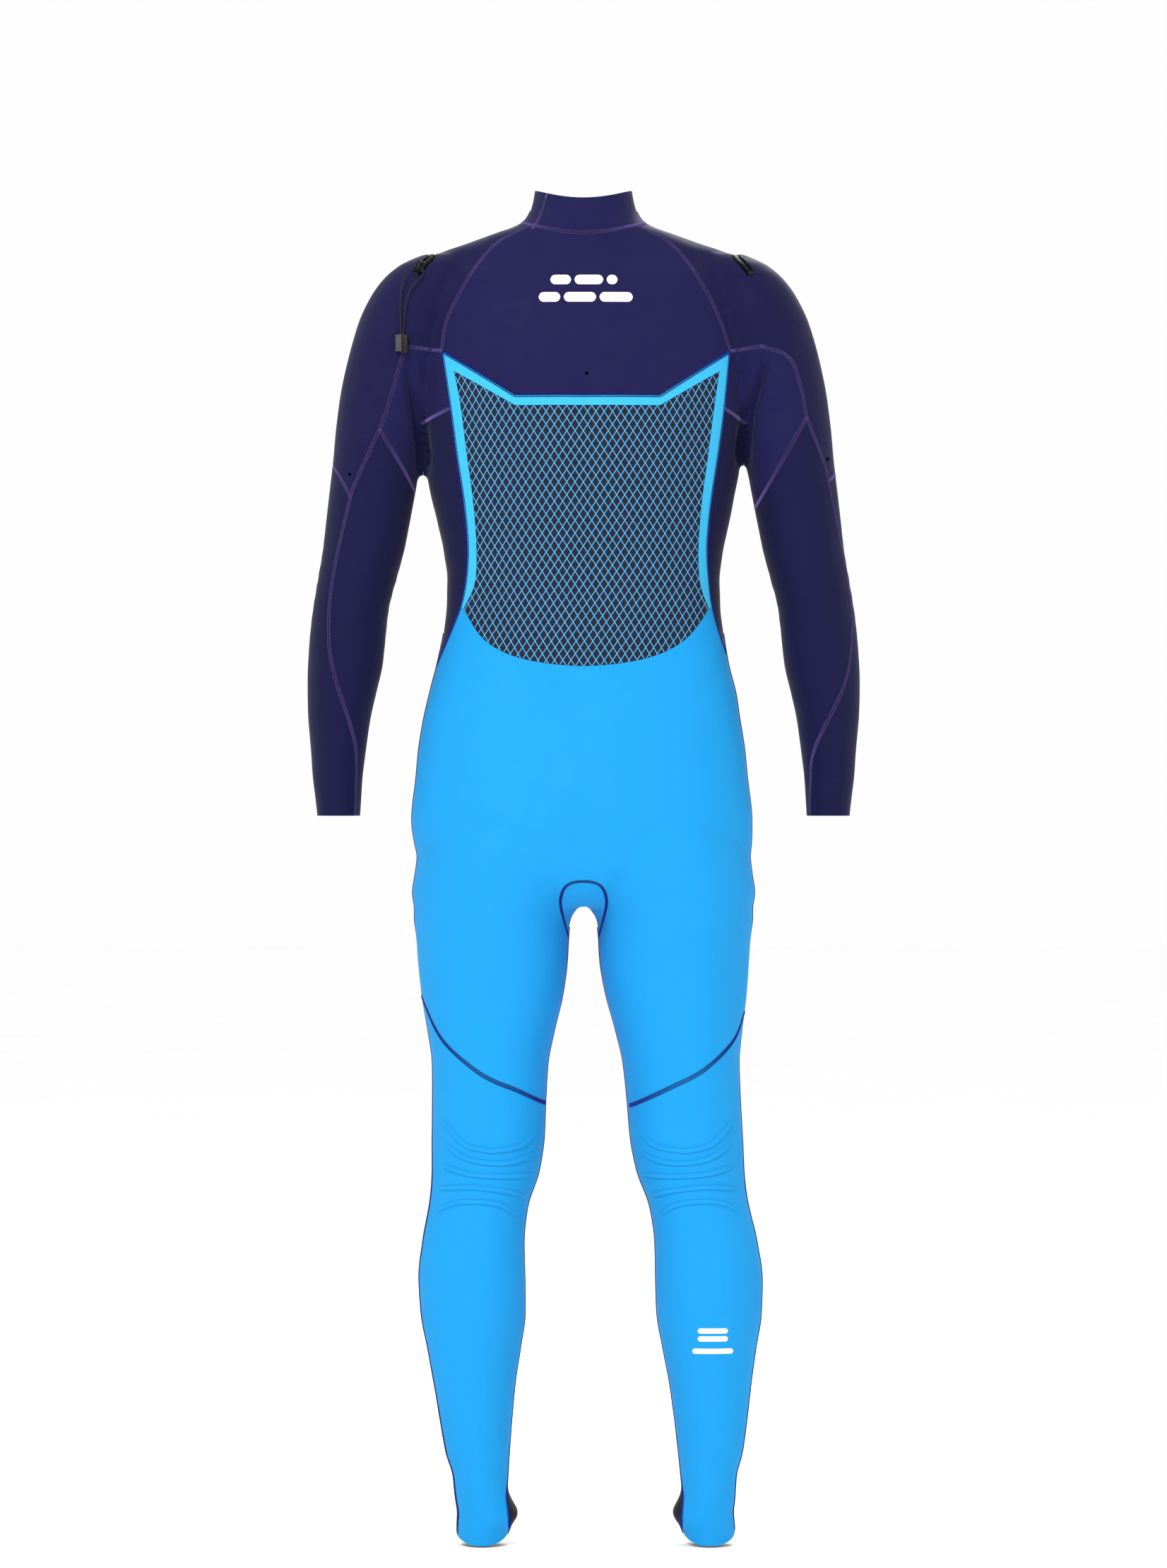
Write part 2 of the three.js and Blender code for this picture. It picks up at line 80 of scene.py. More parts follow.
# ---- Driving dimensions ----
COLLAR_TOP = 1531
COLLAR_DIP = 12  # how far the collar's rim falls at its middle
COLLAR_HALF = 56
WALL = 3.6  # neoprene
SEAM_GAP = 0.35  # between two panels
CUT_PAST = 2.0  # how far a half cut runs past the seam that it ends in, under the stitching
TRIM_PAST = 0.8  # how far the stitching stops short of the rim, cuffs and hems
VOXEL = 4.0  # the body surface's grid
CUFF = 824
HEM_LOW, HEM_SLOPE, HEEL_Y = 2, 0.32, -47
KNEE, KNEE_REACH = 427, 68  # the fold's height, and how far above and below it the panels bend
KNEE_PAD_FOOT, KNEE_PAD_SPAN = 357, (66, 192)  # the pad's lower edge: height, and |x| at its ends
DEPTH = 260  # half length of a cut that runs right through
FAR = 900  # where a ray starts, well outside the suit
BETWEEN_ARM = 206  # |x| of the space between arm and torso, from which the side seams are seen
SHOULDER_SPAN = (58, 169)  # |x| between which the seam on top of each shoulder is cut
SHOULDER_SEWN = (60, 164)  # and between which it is sewn
SIDE_CUT = {"left": -112, "right": 140}  # x inside each leg at which its side seam's cut ends
INNER_CUT = (-100, 125)  # x inside the two legs between which their inner seams are cut
DRAIN_R = 1.9
NECK_ONLY, ARM_ONLY = 1480, 225  # above this height there is only the neck; beyond this |x|, only arms
ZIP_GAP = 9.5  # the slot in the neoprene that shows the zip
ZIP_FLAP = 9.0  # half width of the water barrier behind it
ZIP_TOP_X, ZIP_TOP_BOW = 168, 4  # |x| of the teeth on top of the shoulder, and how far they bow out
ZIP_TOP_Y = (24, -44)  # from where to where they run there
ZIP_LAP = 0.5  # how far the front and back parts of the slot overlap on top of the shoulder
TEETH_GAP = 2.0  # between the two tapes, under the teeth
TAPE_SUNK = 0.32  # how far the tape lies below the outside, as a share of the wall
TAPE_CLEAR = 0.2  # how much narrower the two tapes are than the slot
THREAD_R, ROW_R = 0.5, 0.42  # flatlock cover thread and its two edge rows
THREAD_LIFT, ROW_LIFT = 0.9, 0.5  # how far their middles stand off the jersey, in radii
STITCH = 1.9  # length of a stitch
SEAM_TAPE = (4.0, 0.15, 0.2)  # half width, half thickness, and how far under the lining it lies
TAPE_STEP = 4  # distance between its sections
BAND = {"purple": 3.6, "blue": 4.0, "fine": 2.6}  # width of the seam's cover
CORD_D, CORD_LENGTH = 1.6, 0.172  # the pull's cord: its thickness in millimetres, its length in metres

# ---- Body: (height, centre x, half width) and (height, centre y, half depth) ----
TORSO_WIDE = [
    (722, 0, 42), (731, 0, 90), (750, 0, 155), (776, 0, 187), (819, -2, 192), (867, -2, 187),
    (899, -2, 184), (931, -2, 179), (963, -1, 173), (995, -1, 165), (1027, 0, 159), (1059, 0, 155),
    (1091, 0, 154), (1123, 0, 158), (1155, 0, 165), (1187, -1, 172), (1219, -1, 178), (1290, 0, 186),
    (1350, 0, 190), (1400, 0, 190), (1430, 0, 187), (1458, 0, 167), (1468, 0, 139), (1480, 0, 106),
    (1494, 0, 70), (1508, 0, 60), (1531, 0, 55), (1560, 0, 52),
]
TORSO_DEEP = [
    (722, -20, 58), (731, -21, 80), (750, -22, 98), (776, -24, 110), (820, -26, 118),
    (930, -14, 107), (995, -8, 98),
    (1060, -5, 93), (1095, -4, 93), (1220, -5, 110), (1290, -7, 116), (1350, -11, 110), (1400, -16, 94),
    (1430, -18, 78), (1458, -16, 58), (1468, -14, 56), (1480, -10, 58), (1494, -5, 62),
    (1510, -2, 61), (1560, 0, 58),
]
ARM_WIDE = [
    (790, 278, 22), (824, 278, 24.5), (867, 279, 28.4), (899, 278, 31.4), (931, 277, 35),
    (963, 274, 39), (995, 270, 42.4), (1027, 267, 43), (1059, 263, 43), (1091, 256, 44.4),
    (1123, 249, 46), (1155, 244, 47.4), (1187, 239, 48.6), (1219, 234, 49.6), (1267, 225, 54),
    (1315, 215, 57), (1379, 197, 58), (1411, 184, 56), (1430, 172, 54), (1446, 159, 48), (1458, 150, 30),
]
ARM_DEEP = [
    (790, 26, 28), (835, 23, 30), (963, 8, 43), (1027, 1, 48), (1090, -4, 49), (1155, -7, 52),
    (1219, -10, 56), (1267, -12, 58), (1315, -13, 61), (1379, -15, 62), (1430, -16, 54),
    (1446, -16, 46), (1458, -16, 28),
]
LEG_WIDE = [
    (-30, 129, 28), (12, 128.5, 29), (25, 125, 32.5), (36, 121.5, 35), (48, 125, 33), (62, 128.5, 30.8),
    (80, 129, 31.8), (103, 131.6, 36), (143, 133, 41),
    (183, 133.4, 46), (223, 133, 52.6), (263, 133.4, 59), (303, 134, 60), (343, 131.6, 57.6),
    (383, 125, 56), (423, 116, 60.6), (463, 112, 63.4), (503, 110, 64), (543, 108, 65.4),
    (583, 106, 72), (623, 104, 80), (663, 103, 84.5), (690, 103, 86), (706, 103, 88), (714, 101, 90),
    (721, 98, 92.5), (728, 96, 96), (742, 92, 101), (776, 87, 101), (820, 84, 92), (870, 80, 70),
]
LEG_DEEP = [
    (-30, -5, 42), (40, -6, 41), (63, -8, 40), (143, -15, 46), (223, -21, 56), (290, -23, 63),
    (383, -12, 59), (423, -6, 61), (503, -2, 69), (583, -6, 79), (663, -14, 90), (722, -20, 100),
    (790, -25, 110), (830, -24, 100), (870, -20, 76),
]
# The legs lean to the wearer's right and the back panel sits a little to that side.
SWAY = [(0, 14), (660, 0), (1000, 0), (1080, 4.5), (1300, 4.5), (1420, 0)]
SWAY_TOP = 700  # above it only the seams sway, not the legs
# How square the torso's sections are: 2 is an ellipse.
SQUARENESS = [(722, 2.0), (900, 2.25), (1100, 2.4), (1300, 2.3), (1400, 2.0), (1560, 2.0)]

# ---- Seams, as (x, height) for the half at +X where both sides are alike; a corner is given twice --
NECK_BACK = [(80, 1497), (62, 1490), (30, 1482), (0, 1479)]
NECK_FRONT = [(80, 1497), (62, 1490), (30, 1474), (0, 1468)]
COLLAR_SEAM = [(36, 1545), (48, 1502), (57, 1484)]
RAGLAN = [(59.5, 1489), (95, 1470), (119, 1443), (140, 1408), (154, 1378)]
FRAME_TOP = [(162, 1346), (81, 1294), (81, 1294), (0, 1294)]
FRAME_SIDE = [
    (162, 1346), (154, 1281), (147, 1228), (139, 1174), (135, 1126),
    (137, 1089), (142, 1059), (155, 1021), (178, 965),
]
FRAME_INNER = [
    (0, 1282.5), (81, 1282.5), (81, 1282.5), (148.5, 1322), (148.5, 1322), (142, 1283), (135, 1228),
    (128, 1175), (124.5, 1125), (126.5, 1085), (138, 1056),
]
FRAME_FOOT = [(138, 1056), (142, 1059)]
WAIST = [(138, 1056), (115, 1024), (86, 1006), (48, 996), (0, 992)]
UNDERARM = (183, 1266)
UNDERARM_LOW = [(183, 1268), (182, 1240), (181, 1208)]  # hidden in the crease beside the arm
SLEEVE = {
    "left": {
        "main": [(200, 1351), (217, 1292), (229, 1258), (252, 1208), (262, 1182), (282, 1094),
                 (287, 1030), (281, 984), (262, 922), (257, 885), (260, 790)],
        "inner": [(229, 1258), (202, 1213), (186, 1180)],
        "outer": [(300, 1245), (273, 1204), (262, 1182)],
    },
    "right": {
        "main": [(200, 1351), (231, 1338), (245, 1302), (251, 1272), (267, 1231), (276, 1201),
                 (299, 1083), (303, 1030), (295, 974), (262, 902), (257, 860), (257, 790)],
        "inner": [(251, 1272), (213, 1205), (190, 1165)],
        "outer": [(300, 1226), (276, 1201)],
    },
}
CROTCH = [
    (13, 670), (16.5, 684), (19.5, 696), (23, 710), (25.8, 724), (25.3, 733), (22.5, 742), (17, 748),
    (9, 750.7), (0, 751.5),
]
FRONT_MIDDLE = [(0, 992), (0, 751)]
ABOVE_KNEE_BACK = {
    "left": [(192, 650), (181, 614), (161, 573), (128, 542), (104, 527), (78, 516), (47, 500),
             (36, 496)],
    "right": [(190, 632), (179.5, 600), (166, 570), (132.5, 539), (94, 519), (51, 498), (40, 494)],
}
ABOVE_KNEE_FRONT = [(196, 560), (110, 522), (34, 505)]
ARMHOLE_FRONT = [(147, 1420), (158, 1380)]
# Seams between front and back halves, as (y, height).
SIDE_SEAM = [
    (-8, 1030), (-22, 850), (-18, 720), (0, 655), (0, 480), (-16, 383),
    (-26, 283), (-22, 183), (-14, 63), (-8, -40),
]
SIDE_SEAM_BACK = {"left": 8, "right": 2}  # how much further back it lies below the knee
INNER_LEG = [
    (-18, 698), (-14, 670), (0, 600), (0, 480), (-12, 383), (-22, 283), (-18, 183), (-14, 100),
    (-18, 68), (-28, 53), (-35, 37), (-27, 25), (-12, 14), (-10, -20),
]
SHOULDER_TOP = [(0, 1430), (0, 1510)]
ZIP_FRONT = [(0, 1330), (62, 1338), (108, 1362), (138, 1402), (158, 1434), (171, 1452), (171, 1480)]
ZIP_BACK = [(171, 1480), (171, 1455), (178, 1446), (188, 1433)]
DRAIN_HOLES = [(3.5, 1318, -1), (-263, 1208, -1), (275, 1226, -1)]  # x, height, side
# Embossed ribs behind each knee: (offset from the leg's middle towards the outside, height).
KNEE_RIBS = [
    [(48.5, 482), (24, 456), (0, 449), (-14, 448.5), (-41, 454), (-59, 468)],
    [(47, 457), (24, 441), (0, 435), (-29, 435), (-58, 444.5)],
    [(47.5, 430), (19, 422), (-11, 419.6), (-38, 419.5), (-54, 420)],
    [(52, 404.5), (19, 407), (-14, 404), (-33, 400), (-45, 395.5)],
    [(56, 377.5), (35, 388.5), (10, 391), (-17, 387), (-37, 373)],
]
RIB_MIDDLE = {"left": -111, "right": 121}
# The slider runs on an arc over the left shoulder: its centre, its axis and where it rests.
ARC_CENTRE, ARC_AXIS, ARC_REST = (-188, -12, 1404), (-0.923, 0.1, 0.371), (-184.5, -61, 1438)
CORD_ROUTE = [
    (-204.8, -82, 1364.4), (-205, -81.3, 1378), (-205.4, -80.2, 1394), (-205, -78.8, 1409),
    (-203, -77, 1421), (-199.5, -75, 1430.5), (-195, -73, 1437), (-190, -71.3, 1440.4),
    (-184.8, -70.5, 1439.8), (-180.6, -71.6, 1436.3), (-180.5, -74, 1431), (-185.5, -76.3, 1425.5),
    (-191.5, -78, 1419), (-195.5, -79.4, 1411), (-198.6, -80.4, 1399), (-200.8, -81.2, 1384),
    (-202.3, -82, 1364.4),
]
TOGGLE_TOP, TOGGLE_TURN = (-203.5, -82, 1364), -0.25

# ---- Colours, as linear light ----
NAVY = (0.0078, 0.0066, 0.0480)
# Painted shade: the navy darkened for the side and sleeve panels, which turn away from the light.
NAVY_SHADED_SIDE = (0.0050, 0.0048, 0.0350)
# Painted shade: the navy darkened for the shoulder panels, which turn away from the light.
NAVY_SHADED_SHOULDER = (0.0066, 0.0056, 0.0400)
BLUE = (0.0085, 0.2450, 0.5600)
TRIM = (0.0330, 0.3530, 0.5900)
LATTICE_FILL = (0.0115, 0.0125, 0.0220)
LATTICE_LINE = (0.0650, 0.2900, 0.5600)
BLACK = (0.0040, 0.0042, 0.0055)
PURPLE_THREAD, PURPLE_ROW = (0.1150, 0.0750, 0.2600), (0.0300, 0.0210, 0.1050)
BLUE_THREAD, BLUE_ROW = (0.0080, 0.0190, 0.2600), (0.0050, 0.0080, 0.1200)
PRINT_WHITE = (0.6600, 0.6600, 0.6600)


def place(x, y, height):
    """A point of the tables in the frame's metres."""
    return Vector((x / 1000, y / 1000, (height - COLLAR_TOP) / 1000))


# ---- Lines ----
def smooth_rows(rows):
    """A function through rows of (place, value, ...) that runs smoothly and never overshoots."""
    rows = np.array(rows, float)
    x, y = rows[:, 0], rows[:, 1:]
    slope = np.diff(y, axis=0) / np.diff(x)[:, None]
    turning = slope[:-1] * slope[1:] <= 0
    total = np.where(turning, 1, slope[:-1] + slope[1:])
    between = np.where(turning, 0, 2 * slope[:-1] * slope[1:] / total)
    tangent = np.vstack([slope[:1], between, slope[-1:]])

    def value(at):
        at = np.clip(np.asarray(at, float), x[0], x[-1])
        i = np.clip(np.searchsorted(x, at) - 1, 0, len(x) - 2)
        width = (x[i + 1] - x[i])[..., None]
        t = (at - x[i])[..., None] / width
        return (
            (2 * t**3 - 3 * t**2 + 1) * y[i] + (t**3 - 2 * t**2 + t) * width * tangent[i]
            + (3 * t**2 - 2 * t**3) * y[i + 1] + (t**3 - t**2) * width * tangent[i + 1]
        )

    return value


def sway_at(height):
    return np.interp(height, [h for h, _ in SWAY], [x for _, x in SWAY])


def spline(points, step):
    """Points about `step` apart on a smooth curve through `points`; a point given twice is a corner."""
    points = [np.array(p, float) for p in points]
    runs, run = [], [points[0]]
    for before, point in zip(points, points[1:]):
        if np.allclose(before, point):
            runs.append(run)
            run = [point]
        else:
            run.append(point)
    runs.append(run)
    made = []
    for run in (r for r in runs if len(r) > 1):
        run = [2 * run[0] - run[1], *run, 2 * run[-1] - run[-2]]
        for a, b, c, d in zip(run, run[1:], run[2:], run[3:]):
            count = max(1, round(float(np.linalg.norm(c - b)) / step))
            for t in np.arange(count) / count:
                made.append(0.5 * (
                    2 * b + (c - a) * t + (2 * a - 5 * b + 4 * c - d) * t**2
                    + (3 * b - a - 3 * c + d) * t**3
                ))
        made.append(run[-2])
    keep = [i for i in range(len(made)) if i == 0 or np.linalg.norm(made[i] - made[i - 1]) > 1e-6]
    return np.array([made[i] for i in keep])


def mirrored(line):
    return [(-x, z) for x, z in line]


def swayed(line):
    return [(x + float(sway_at(z)), z) for x, z in line]


def across(line):
    """A line for the half at +X, continued over the middle onto the half at -X."""
    half = line if line[-1][0] == 0 or line[0][0] != 0 else line[::-1]
    tail = half[:-1] if half[-1][0] == 0 else half
    return [*half, *mirrored(tail)[::-1]]


# ---- Meshes ----
# Angles between faces, in degrees, from which an edge stays sharp.
CLOTH_ANGLE, THREAD_ANGLE, RAISED_ANGLE, MOULDED_ANGLE = 40, 60, 50, 35


def linked(name, data):
    """A new object in the scene."""
    made = bpy.data.objects.new(name, data)
    bpy.context.scene.collection.objects.link(made)
    return made


def new_object(name, vertices, faces, material=None):
    mesh = bpy.data.meshes.new(name)
    mesh.from_pydata([tuple(v) for v in vertices], [], [tuple(int(i) for i in f) for f in faces])
    mesh.update()
    if material is not None:
        mesh.materials.append(material)
    return linked(name, mesh)


def merged(parts):
    """Several parts, each given as (vertices, faces), as one."""
    vertices, faces = [], []
    for points, around in parts:
        faces += [tuple(i + len(vertices) for i in face) for face in around]
        vertices.extend(points)
    return vertices, faces


def faces_of(obj):
    return [tuple(face.vertices) for face in obj.data.polygons]


def unit(vectors):
    """A vector, or each row's vector, with a length of 1."""
    return vectors / np.linalg.norm(vectors, axis=-1, keepdims=True)


def apply_modifiers(obj):
    bpy.context.view_layer.update()
    graph = bpy.context.evaluated_depsgraph_get()
    mesh = bpy.data.meshes.new_from_object(obj.evaluated_get(graph))
    obj.modifiers.clear()
    old, obj.data = obj.data, mesh
    bpy.data.meshes.remove(old)
    return obj


def remove(*objects):
    for obj in objects:
        mesh = obj.data
        bpy.data.objects.remove(obj)
        bpy.data.meshes.remove(mesh)


def coordinates(mesh):
    co = np.empty(len(mesh.vertices) * 3)
    mesh.vertices.foreach_get("co", co)
    return co.reshape(-1, 3)


def normals_of(mesh):
    normals = np.empty(len(mesh.vertices) * 3)
    mesh.vertex_normals.foreach_get("vector", normals)
    return normals.reshape(-1, 3)


def move_to(mesh, co):
    mesh.vertices.foreach_set("co", co.ravel())
    mesh.update()


def paint(obj, material):
    """Gives all of a mesh one material."""
    obj.data.materials.clear()
    obj.data.materials.append(material)
    obj.data.polygons.foreach_set("material_index", [0] * len(obj.data.polygons))


def shade(obj, angle=CLOTH_ANGLE):
    obj.data.polygons.foreach_set("use_smooth", [True] * len(obj.data.polygons))
    obj.data.set_sharp_from_angle(angle=math.radians(angle))


def tube_rings(count, around, base=0):
    """The faces of a closed tube of `count` rings of `around` points each."""
    faces = []
    for ring in range(count - 1):
        for i in range(around):
            a, b = base + ring * around + i, base + ring * around + (i + 1) % around
            faces.append((a, b, b + around, a + around))
    faces.append(tuple(base + i for i in reversed(range(around))))
    faces.append(tuple(base + (count - 1) * around + i for i in range(around)))
    return faces


# ---- The body's surface ----
SEGMENTS, ROW_STEP = 96, 6
BODY_ROUNDS, NORMAL_ROUNDS = 24, 6  # how often the surface and its normals are evened out
EVEN_OUT, PUSH_BACK = 0.5, -0.53  # shares of the way to the neighbours' mean, in turn


def loft(wide, deep, side=1, lean=False, power=None):
    """One limb's closed form, as vertices and faces."""
    low, high = wide[0][0], wide[-1][0]
    heights = np.linspace(low, high, round((high - low) / ROW_STEP) + 1)
    x, half_wide = smooth_rows(wide)(heights).T
    y, half_deep = smooth_rows(deep)(heights).T
    x = x * side + (np.where(heights < SWAY_TOP, sway_at(heights), 0) if lean else 0)
    turn = np.linspace(0, 2 * math.pi, SEGMENTS, endpoint=False)
    square = smooth_rows(power)(heights) if power else np.full((len(heights), 1), 2.0)
    cos, sin = np.cos(turn), np.sin(turn)
    out_x = x[:, None] + half_wide[:, None] * np.sign(cos) * np.abs(cos) ** (2 / square)
    out_y = y[:, None] + half_deep[:, None] * np.sign(sin) * np.abs(sin) ** (2 / square)
    out_z = np.repeat(heights[:, None], SEGMENTS, axis=1) - COLLAR_TOP
    vertices = np.stack([out_x, out_y, out_z], axis=-1).reshape(-1, 3) / 1000
    return vertices, tube_rings(len(heights), SEGMENTS)


# Soft forms of the body under the suit: x, height, side (-1 back, 1 front), spreads in x and height,
# and how far the surface moves out.
FORMS = [
    (0, 1200, -1, 16, 130, -3.0), (85, 1345, -1, 38, 52, 3.0), (-85, 1345, -1, 38, 52, 3.0),
    (0, 800, -1, 14, 45, -4.0), (75, 1340, 1, 50, 45, 3.5), (-75, 1340, 1, 50, 45, 3.5),
    (0, 1330, 1, 16, 60, -2.5), (121, 427, 1, 30, 40, 3.0), (-111, 427, 1, 30, 40, 3.0),
]
# Waves where the neoprene gathers a little: x, y, height, spread, wave length, depth.
FOLDS = [
    (206, -20, 1262, 34, 17, 0.9), (-206, -20, 1262, 34, 17, 0.9), (262, 30, 1083, 46, 19, 0.8),
    (-262, 30, 1083, 46, 19, 0.8), (0, 60, 735, 60, 20, 0.9), (0, -60, 1085, 150, 34, 0.35),
]
# The crease between arm and torso on each side, as (height, x) from its foot to its top.
CREASES = [
    [(1235, -181), (1267, -184), (1288, -188), (1309, -193), (1345, -198)],
    [(1238, 180), (1275, 183.5), (1302, 193), (1334, 204), (1366, 208)],
]
FOLD_SLANT = 0.35
# The rubber's slow unevenness: how deep it is, the lengths of its waves and how much they wander.
UNEVEN, UNEVEN_X, UNEVEN_Z = 0.25, (23, 1.3, 61), (37, 0.9, 29)
CREASE_DEEP, CREASE_WIDE = 11.0, 6.0
CREASE_FADE = 60  # height over which it fades out at its top
CREASE_PAST, CREASE_START = 30, 20  # how far it runs on past its foot, and how fast it starts there
CREASE_Y, CREASE_FLANK = -10, 25  # it is deep only this far in front of and behind that plane
FORM_EDGE = 60  # how far from the middle plane a form has its whole effect


def wandering(values, others, wave):
    """A wave whose crests wander from side to side along the other axis."""
    length, wander, slow = wave
    return np.sin(values / length + wander * np.sin(others / slow))


def sculpt(co, normal):
    """Moves the surface's points along their normals: the body's forms, small folds and unevenness."""
    x, y, z = co[:, 0] * 1000, co[:, 1] * 1000, co[:, 2] * 1000 + COLLAR_TOP
    move = UNEVEN * wandering(x, z, UNEVEN_X) * wandering(z, y, UNEVEN_Z)
    for cx, cz, side, wide, high, out in FORMS:
        facing = np.clip(side * y / FORM_EDGE, 0, 1)
        move += out * facing * np.exp(-((x - cx) / wide) ** 2 - ((z - cz) / high) ** 2)
    for crease in CREASES:
        heights, middles = zip(*crease)
        strength = np.clip((heights[-1] - z) / CREASE_FADE, 0, 1)
        strength *= np.clip((z - heights[0] + CREASE_PAST) / CREASE_START, 0, 1)
        strength *= np.clip(np.abs(y - CREASE_Y) / CREASE_FLANK, 0, 1)
        near = np.exp(-((x - np.interp(z, heights, middles)) / CREASE_WIDE) ** 2)
        move -= CREASE_DEEP * strength * near
    for cx, cy, cz, spread, wave, deep in FOLDS:
        near = np.exp(-((x - cx) ** 2 + (y - cy) ** 2 + (z - cz) ** 2) / spread**2)
        move += deep * near * np.sin(2 * math.pi * (z - cz + FOLD_SLANT * (x - cx)) / wave)
    return co + normal * move[:, None] / 1000


def relaxed(values, edges, count, rounds, keep_size=True):
    """Moves each point towards its neighbours' mean, and undoes the shrinking in every second round."""
    degree = np.bincount(edges.ravel(), minlength=count)[:, None]
    for turn in range(rounds):
        total = np.zeros_like(values)
        for a, b in ((0, 1), (1, 0)):
            for axis in range(3):
                total[:, axis] += np.bincount(edges[:, a], values[edges[:, b], axis], count)
        share = PUSH_BACK if keep_size and turn % 2 else EVEN_OUT
        values = values + share * (total / degree - values)
    return values


def body_surface():
    """The outside of the whole suit, before it is hollowed and cut."""
    parts = [loft(TORSO_WIDE, TORSO_DEEP, power=SQUARENESS)]
    for side in (-1, 1):
        parts += [loft(ARM_WIDE, ARM_DEEP, side), loft(LEG_WIDE, LEG_DEEP, side, lean=True)]
    body = new_object("body_surface", *merged(parts))
    remesh = body.modifiers.new("remesh", "REMESH")
    remesh.mode = "VOXEL"
    remesh.voxel_size = VOXEL / 1000
    apply_modifiers(body)
    mesh = body.data
    edges = np.empty(len(mesh.edges) * 2, int)
    mesh.edges.foreach_get("vertices", edges)
    edges = edges.reshape(-1, 2)
    even = relaxed(coordinates(mesh), edges, len(mesh.vertices), BODY_ROUNDS)
    move_to(mesh, even)
    move_to(mesh, sculpt(even, normals_of(mesh)))
    return body, edges


OUTSIDE, LINING, FOAM = 0, 1, 2  # a panel's material indices


def hollow(body, edges):
    """The outside with a second skin one wall further in, as one closed shell."""
    co = coordinates(body.data)
    normal = unit(relaxed(normals_of(body.data), edges, len(co), NORMAL_ROUNDS, keep_size=False))
    inner = co - normal * WALL / 1000
    faces = faces_of(body)
    back = [tuple(i + len(co) for i in reversed(face)) for face in faces]
    shell = new_object("shell", np.vstack([co, inner]), faces + back)
    for _ in range(3):
        shell.data.materials.append(None)
    kinds = np.array([OUTSIDE] * len(faces) + [LINING] * len(back), np.int32)
    shell.data.polygons.foreach_set("material_index", kinds)
    return shell


# ---- Cuts ----
CORNER_LEAST = 0.35  # keeps a strip's edges from running far out at a sharp corner
SEAM_STEP, FINE_STEP = 6, 3  # between the points of a seam's cut
MEETING_STEP = 4  # between the points of a seam in which another one ends
ZIP_CHEST_STEP, ZIP_STEP = 5, 4  # between the points of the zip's slot in front and elsewhere
RIM_POINTS, DRAIN_SIDES = 17, 16


def edges_of(line, width):
    """The two edges of a strip of that width along a line of (across, height) points."""
    line = np.asarray(line, float)
    steps = unit(np.diff(line, axis=0))
    into, out = np.vstack([steps[:1], steps]), np.vstack([steps, steps[-1:]])
    way = unit(into + out)
    reach = width / 2 / np.clip((way * out).sum(axis=1), CORNER_LEAST, 1)
    sideways = np.stack([-way[:, 1], way[:, 0]], axis=1) * reach[:, None]
    return line + sideways, line - sideways


def wall(name, line, width, near, far, cross=False):
    """A thin closed wall along a line: it cuts from `near` to `far` along Y, or along X if `cross`."""
    left, right = edges_of(line, width)
    near, far = np.broadcast_to(near, len(line)), np.broadcast_to(far, len(line))
    vertices = []
    for a, b, y0, y1 in zip(left, right, near, far):
        for (u, height), reach in ((a, y0), (b, y0), (b, y1), (a, y1)):
            vertices.append(place(reach, u, height) if cross else place(u, reach, height))
    faces = tube_rings(len(line), 4)
    return closed(new_object(name, vertices, faces))


def closed(obj):
    """Turns a closed mesh's faces outwards, and marks them as the foam's cut edge."""
    mesh = obj.data
    mesh.calc_loop_triangles()
    co = coordinates(mesh)
    volume = sum(
        Vector(co[a]).dot(Vector(co[b]).cross(Vector(co[c])))
        for a, b, c in (t.vertices for t in mesh.loop_triangles)
    )
    if volume < 0:
        mesh.flip_normals()
    for _ in range(3):
        mesh.materials.append(None)
    mesh.polygons.foreach_set("material_index", [FOAM] * len(mesh.polygons))
    return obj


def block(name, outline, near, far, cross=False):
    """A closed prism whose outline is drawn as (across, height)."""
    vertices = []
    for reach in (near, far):
        for u, height in outline:
            vertices.append(place(reach, u, height) if cross else place(u, reach, height))
    return closed(new_object(name, vertices, tube_rings(2, len(outline))))


def depth_of(line, height):
    """How far forward a seam drawn as (y, height) lies at that height."""
    y, z = spline(line, MEETING_STEP)[::-1].T
    return float(np.interp(height, z, y))


class Seam:
    """One seam: its line, the way it is cut, the group of seams it belongs to and the thread over it."""

    def __init__(self, line, side, group="torso", thread="purple", step=SEAM_STEP, cross=None, sewn=True,
                 meets=None):
        self.line = spline(line, step)
        self.side, self.group, self.thread, self.cross, self.sewn = side, group, thread, cross, sewn
        self.meets = meets

    def cutter(self, number):
        name = f"cut_{number:02d}"
        if self.cross:
            return wall(name, self.line, SEAM_GAP, *self.cross, cross=True)
        middle = 0.0
        if self.meets:  # it ends in two seams that aren't in the middle plane
            ends = [depth_of(met, self.line[i][1]) for met, i in zip(self.meets, (0, -1))]
            middle = np.linspace(*ends, len(self.line))
        past = middle + (CUT_PAST if self.side == "back" else -CUT_PAST)
        near, far = {"back": (-DEPTH, past), "front": (past, DEPTH), "both": (-DEPTH, DEPTH)}[self.side]
        return wall(name, self.line, SEAM_GAP, near, far)


def side_seam(hand):
    """That leg's side seam, as (y, height)."""
    return [(y - (SIDE_SEAM_BACK[hand] if z < KNEE + KNEE_REACH else 0), z) for y, z in SIDE_SEAM]


